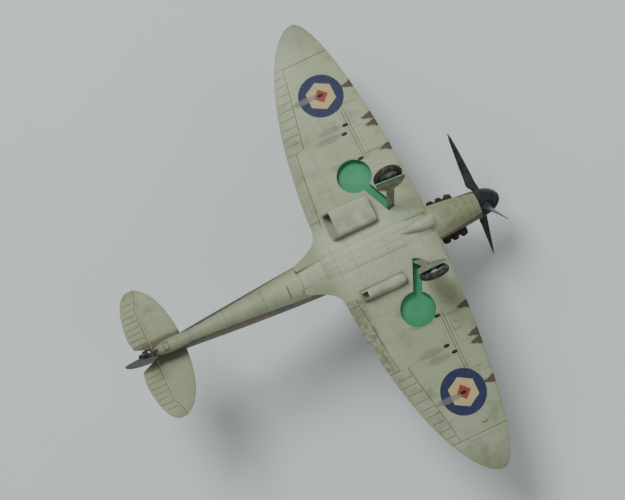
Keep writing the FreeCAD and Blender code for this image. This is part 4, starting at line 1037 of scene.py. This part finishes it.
# ------------------------------------------------------------------ stage
def stage_surface(name, tint, height, up):
    """A pale plane that only shows from the side it faces, and lets light through."""
    mesh = bpy.data.meshes.new(name)
    reach = 3.0
    corners = [(-reach, -reach, height), (reach, -reach, height),
               (reach, reach, height), (-reach, reach, height)]
    mesh.from_pydata(corners, [], [(0, 1, 2, 3) if up else (3, 2, 1, 0)])
    mesh.update()
    mat = bpy.data.materials.new(name + "_finish")
    mat.use_nodes = True
    tree = mat.node_tree
    tree.nodes.clear()
    out = tree.nodes.new("ShaderNodeOutputMaterial")
    where = tree.nodes.new("ShaderNodeTexCoord")
    cloth = tree.nodes.new("ShaderNodeTexNoise")
    cloth.inputs["Scale"].default_value = 9.0
    cloth.inputs["Detail"].default_value = 3.0
    tree.links.new(where.outputs["Object"], cloth.inputs["Vector"])
    tones = tree.nodes.new("ShaderNodeMix")
    tones.data_type = "RGBA"
    tones.inputs[6].default_value = tuple(c * 0.97 for c in tint) + (1,)
    tones.inputs[7].default_value = tuple(min(1, c * 1.03) for c in tint) + (1,)
    tree.links.new(cloth.outputs[0], tones.inputs[0])
    matt = tree.nodes.new("ShaderNodeBsdfDiffuse")
    tree.links.new(tones.outputs[2], matt.inputs["Color"])
    see_through = tree.nodes.new("ShaderNodeBsdfTransparent")
    side = tree.nodes.new("ShaderNodeNewGeometry")
    choose = tree.nodes.new("ShaderNodeMixShader")
    tree.links.new(side.outputs["Backfacing"], choose.inputs[0])
    tree.links.new(matt.outputs[0], choose.inputs[1])
    tree.links.new(see_through.outputs[0], choose.inputs[2])
    tree.links.new(choose.outputs[0], out.inputs["Surface"])
    mesh.materials.append(mat)
    plane = bpy.data.objects.new(name, mesh)
    bpy.context.scene.collection.objects.link(plane)
    plane.visible_shadow = False
    plane.visible_diffuse = False
    plane.visible_glossy = False
    return plane


CLOTH = (0.72, 0.765, 0.76)
stage_surface("floor", CLOTH, 0.0, True)
stage_surface("backdrop", CLOTH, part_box("propeller")[1][2] + 0.0006, False)

CAMERA_AT = (60.53, 98.87, -462.57)
CAMERA_RIGHT = (0.42342, -0.90586, -0.01168)
CAMERA_DOWN = (0.89388, 0.41565, 0.16798)
CAMERA_AHEAD = (-0.14731, -0.08156, 0.98572)
camera = bpy.data.objects.new("camera", bpy.data.cameras.new("camera"))
bpy.context.scene.collection.objects.link(camera)
camera.data.sensor_width = 36.0
camera.data.lens = 86.4
camera.data.clip_start = 0.01
camera.data.clip_end = 20.0
right, down, ahead = row_way(*CAMERA_RIGHT), row_way(*CAMERA_DOWN), row_way(*CAMERA_AHEAD)
turn = Matrix((right, -down, -ahead)).transposed()
camera.matrix_world = Matrix.Translation(row_point(*CAMERA_AT)) @ turn.to_4x4()
bpy.context.scene.camera = camera


def soft_light(name, at, target, size, power, tint=(1, 1, 1)):
    lamp = bpy.data.lights.new(name, "AREA")
    lamp.shape = "DISK"
    lamp.size = size
    lamp.energy = power
    lamp.color = tint
    lamp.use_shadow = True
    holder = bpy.data.objects.new(name, lamp)
    holder.location = at
    holder.rotation_euler = (Vector(target) - Vector(at)).to_track_quat("-Z", "Y").to_euler()
    bpy.context.scene.collection.objects.link(holder)
    return holder


middle = Vector((0.0, 0.0, 0.028))
photo_light = middle + (right * -0.50 - down * 0.62 - ahead * 0.85)
soft_light("photo_key", photo_light, middle, 0.55, 9.0, (0.97, 1.0, 0.985))
photo_fill = middle + (right * 0.9 + down * 0.3 - ahead * 0.8)
soft_light("photo_fill", photo_fill, middle, 0.9, 1.6, (0.94, 0.98, 1.0))
soft_light("studio_key", (-0.55, -0.65, 0.95), middle, 0.6, 9.0, (1.0, 0.99, 0.97))
soft_light("studio_fill", (0.9, 0.5, 0.7), middle, 0.9, 3.0, (0.95, 0.98, 1.0))

world = bpy.data.worlds.new("studio")
bpy.context.scene.world = world
world.use_nodes = True
world.node_tree.nodes["Background"].inputs[0].default_value = (0.86, 0.91, 0.92, 1)
world.node_tree.nodes["Background"].inputs[1].default_value = 0.42
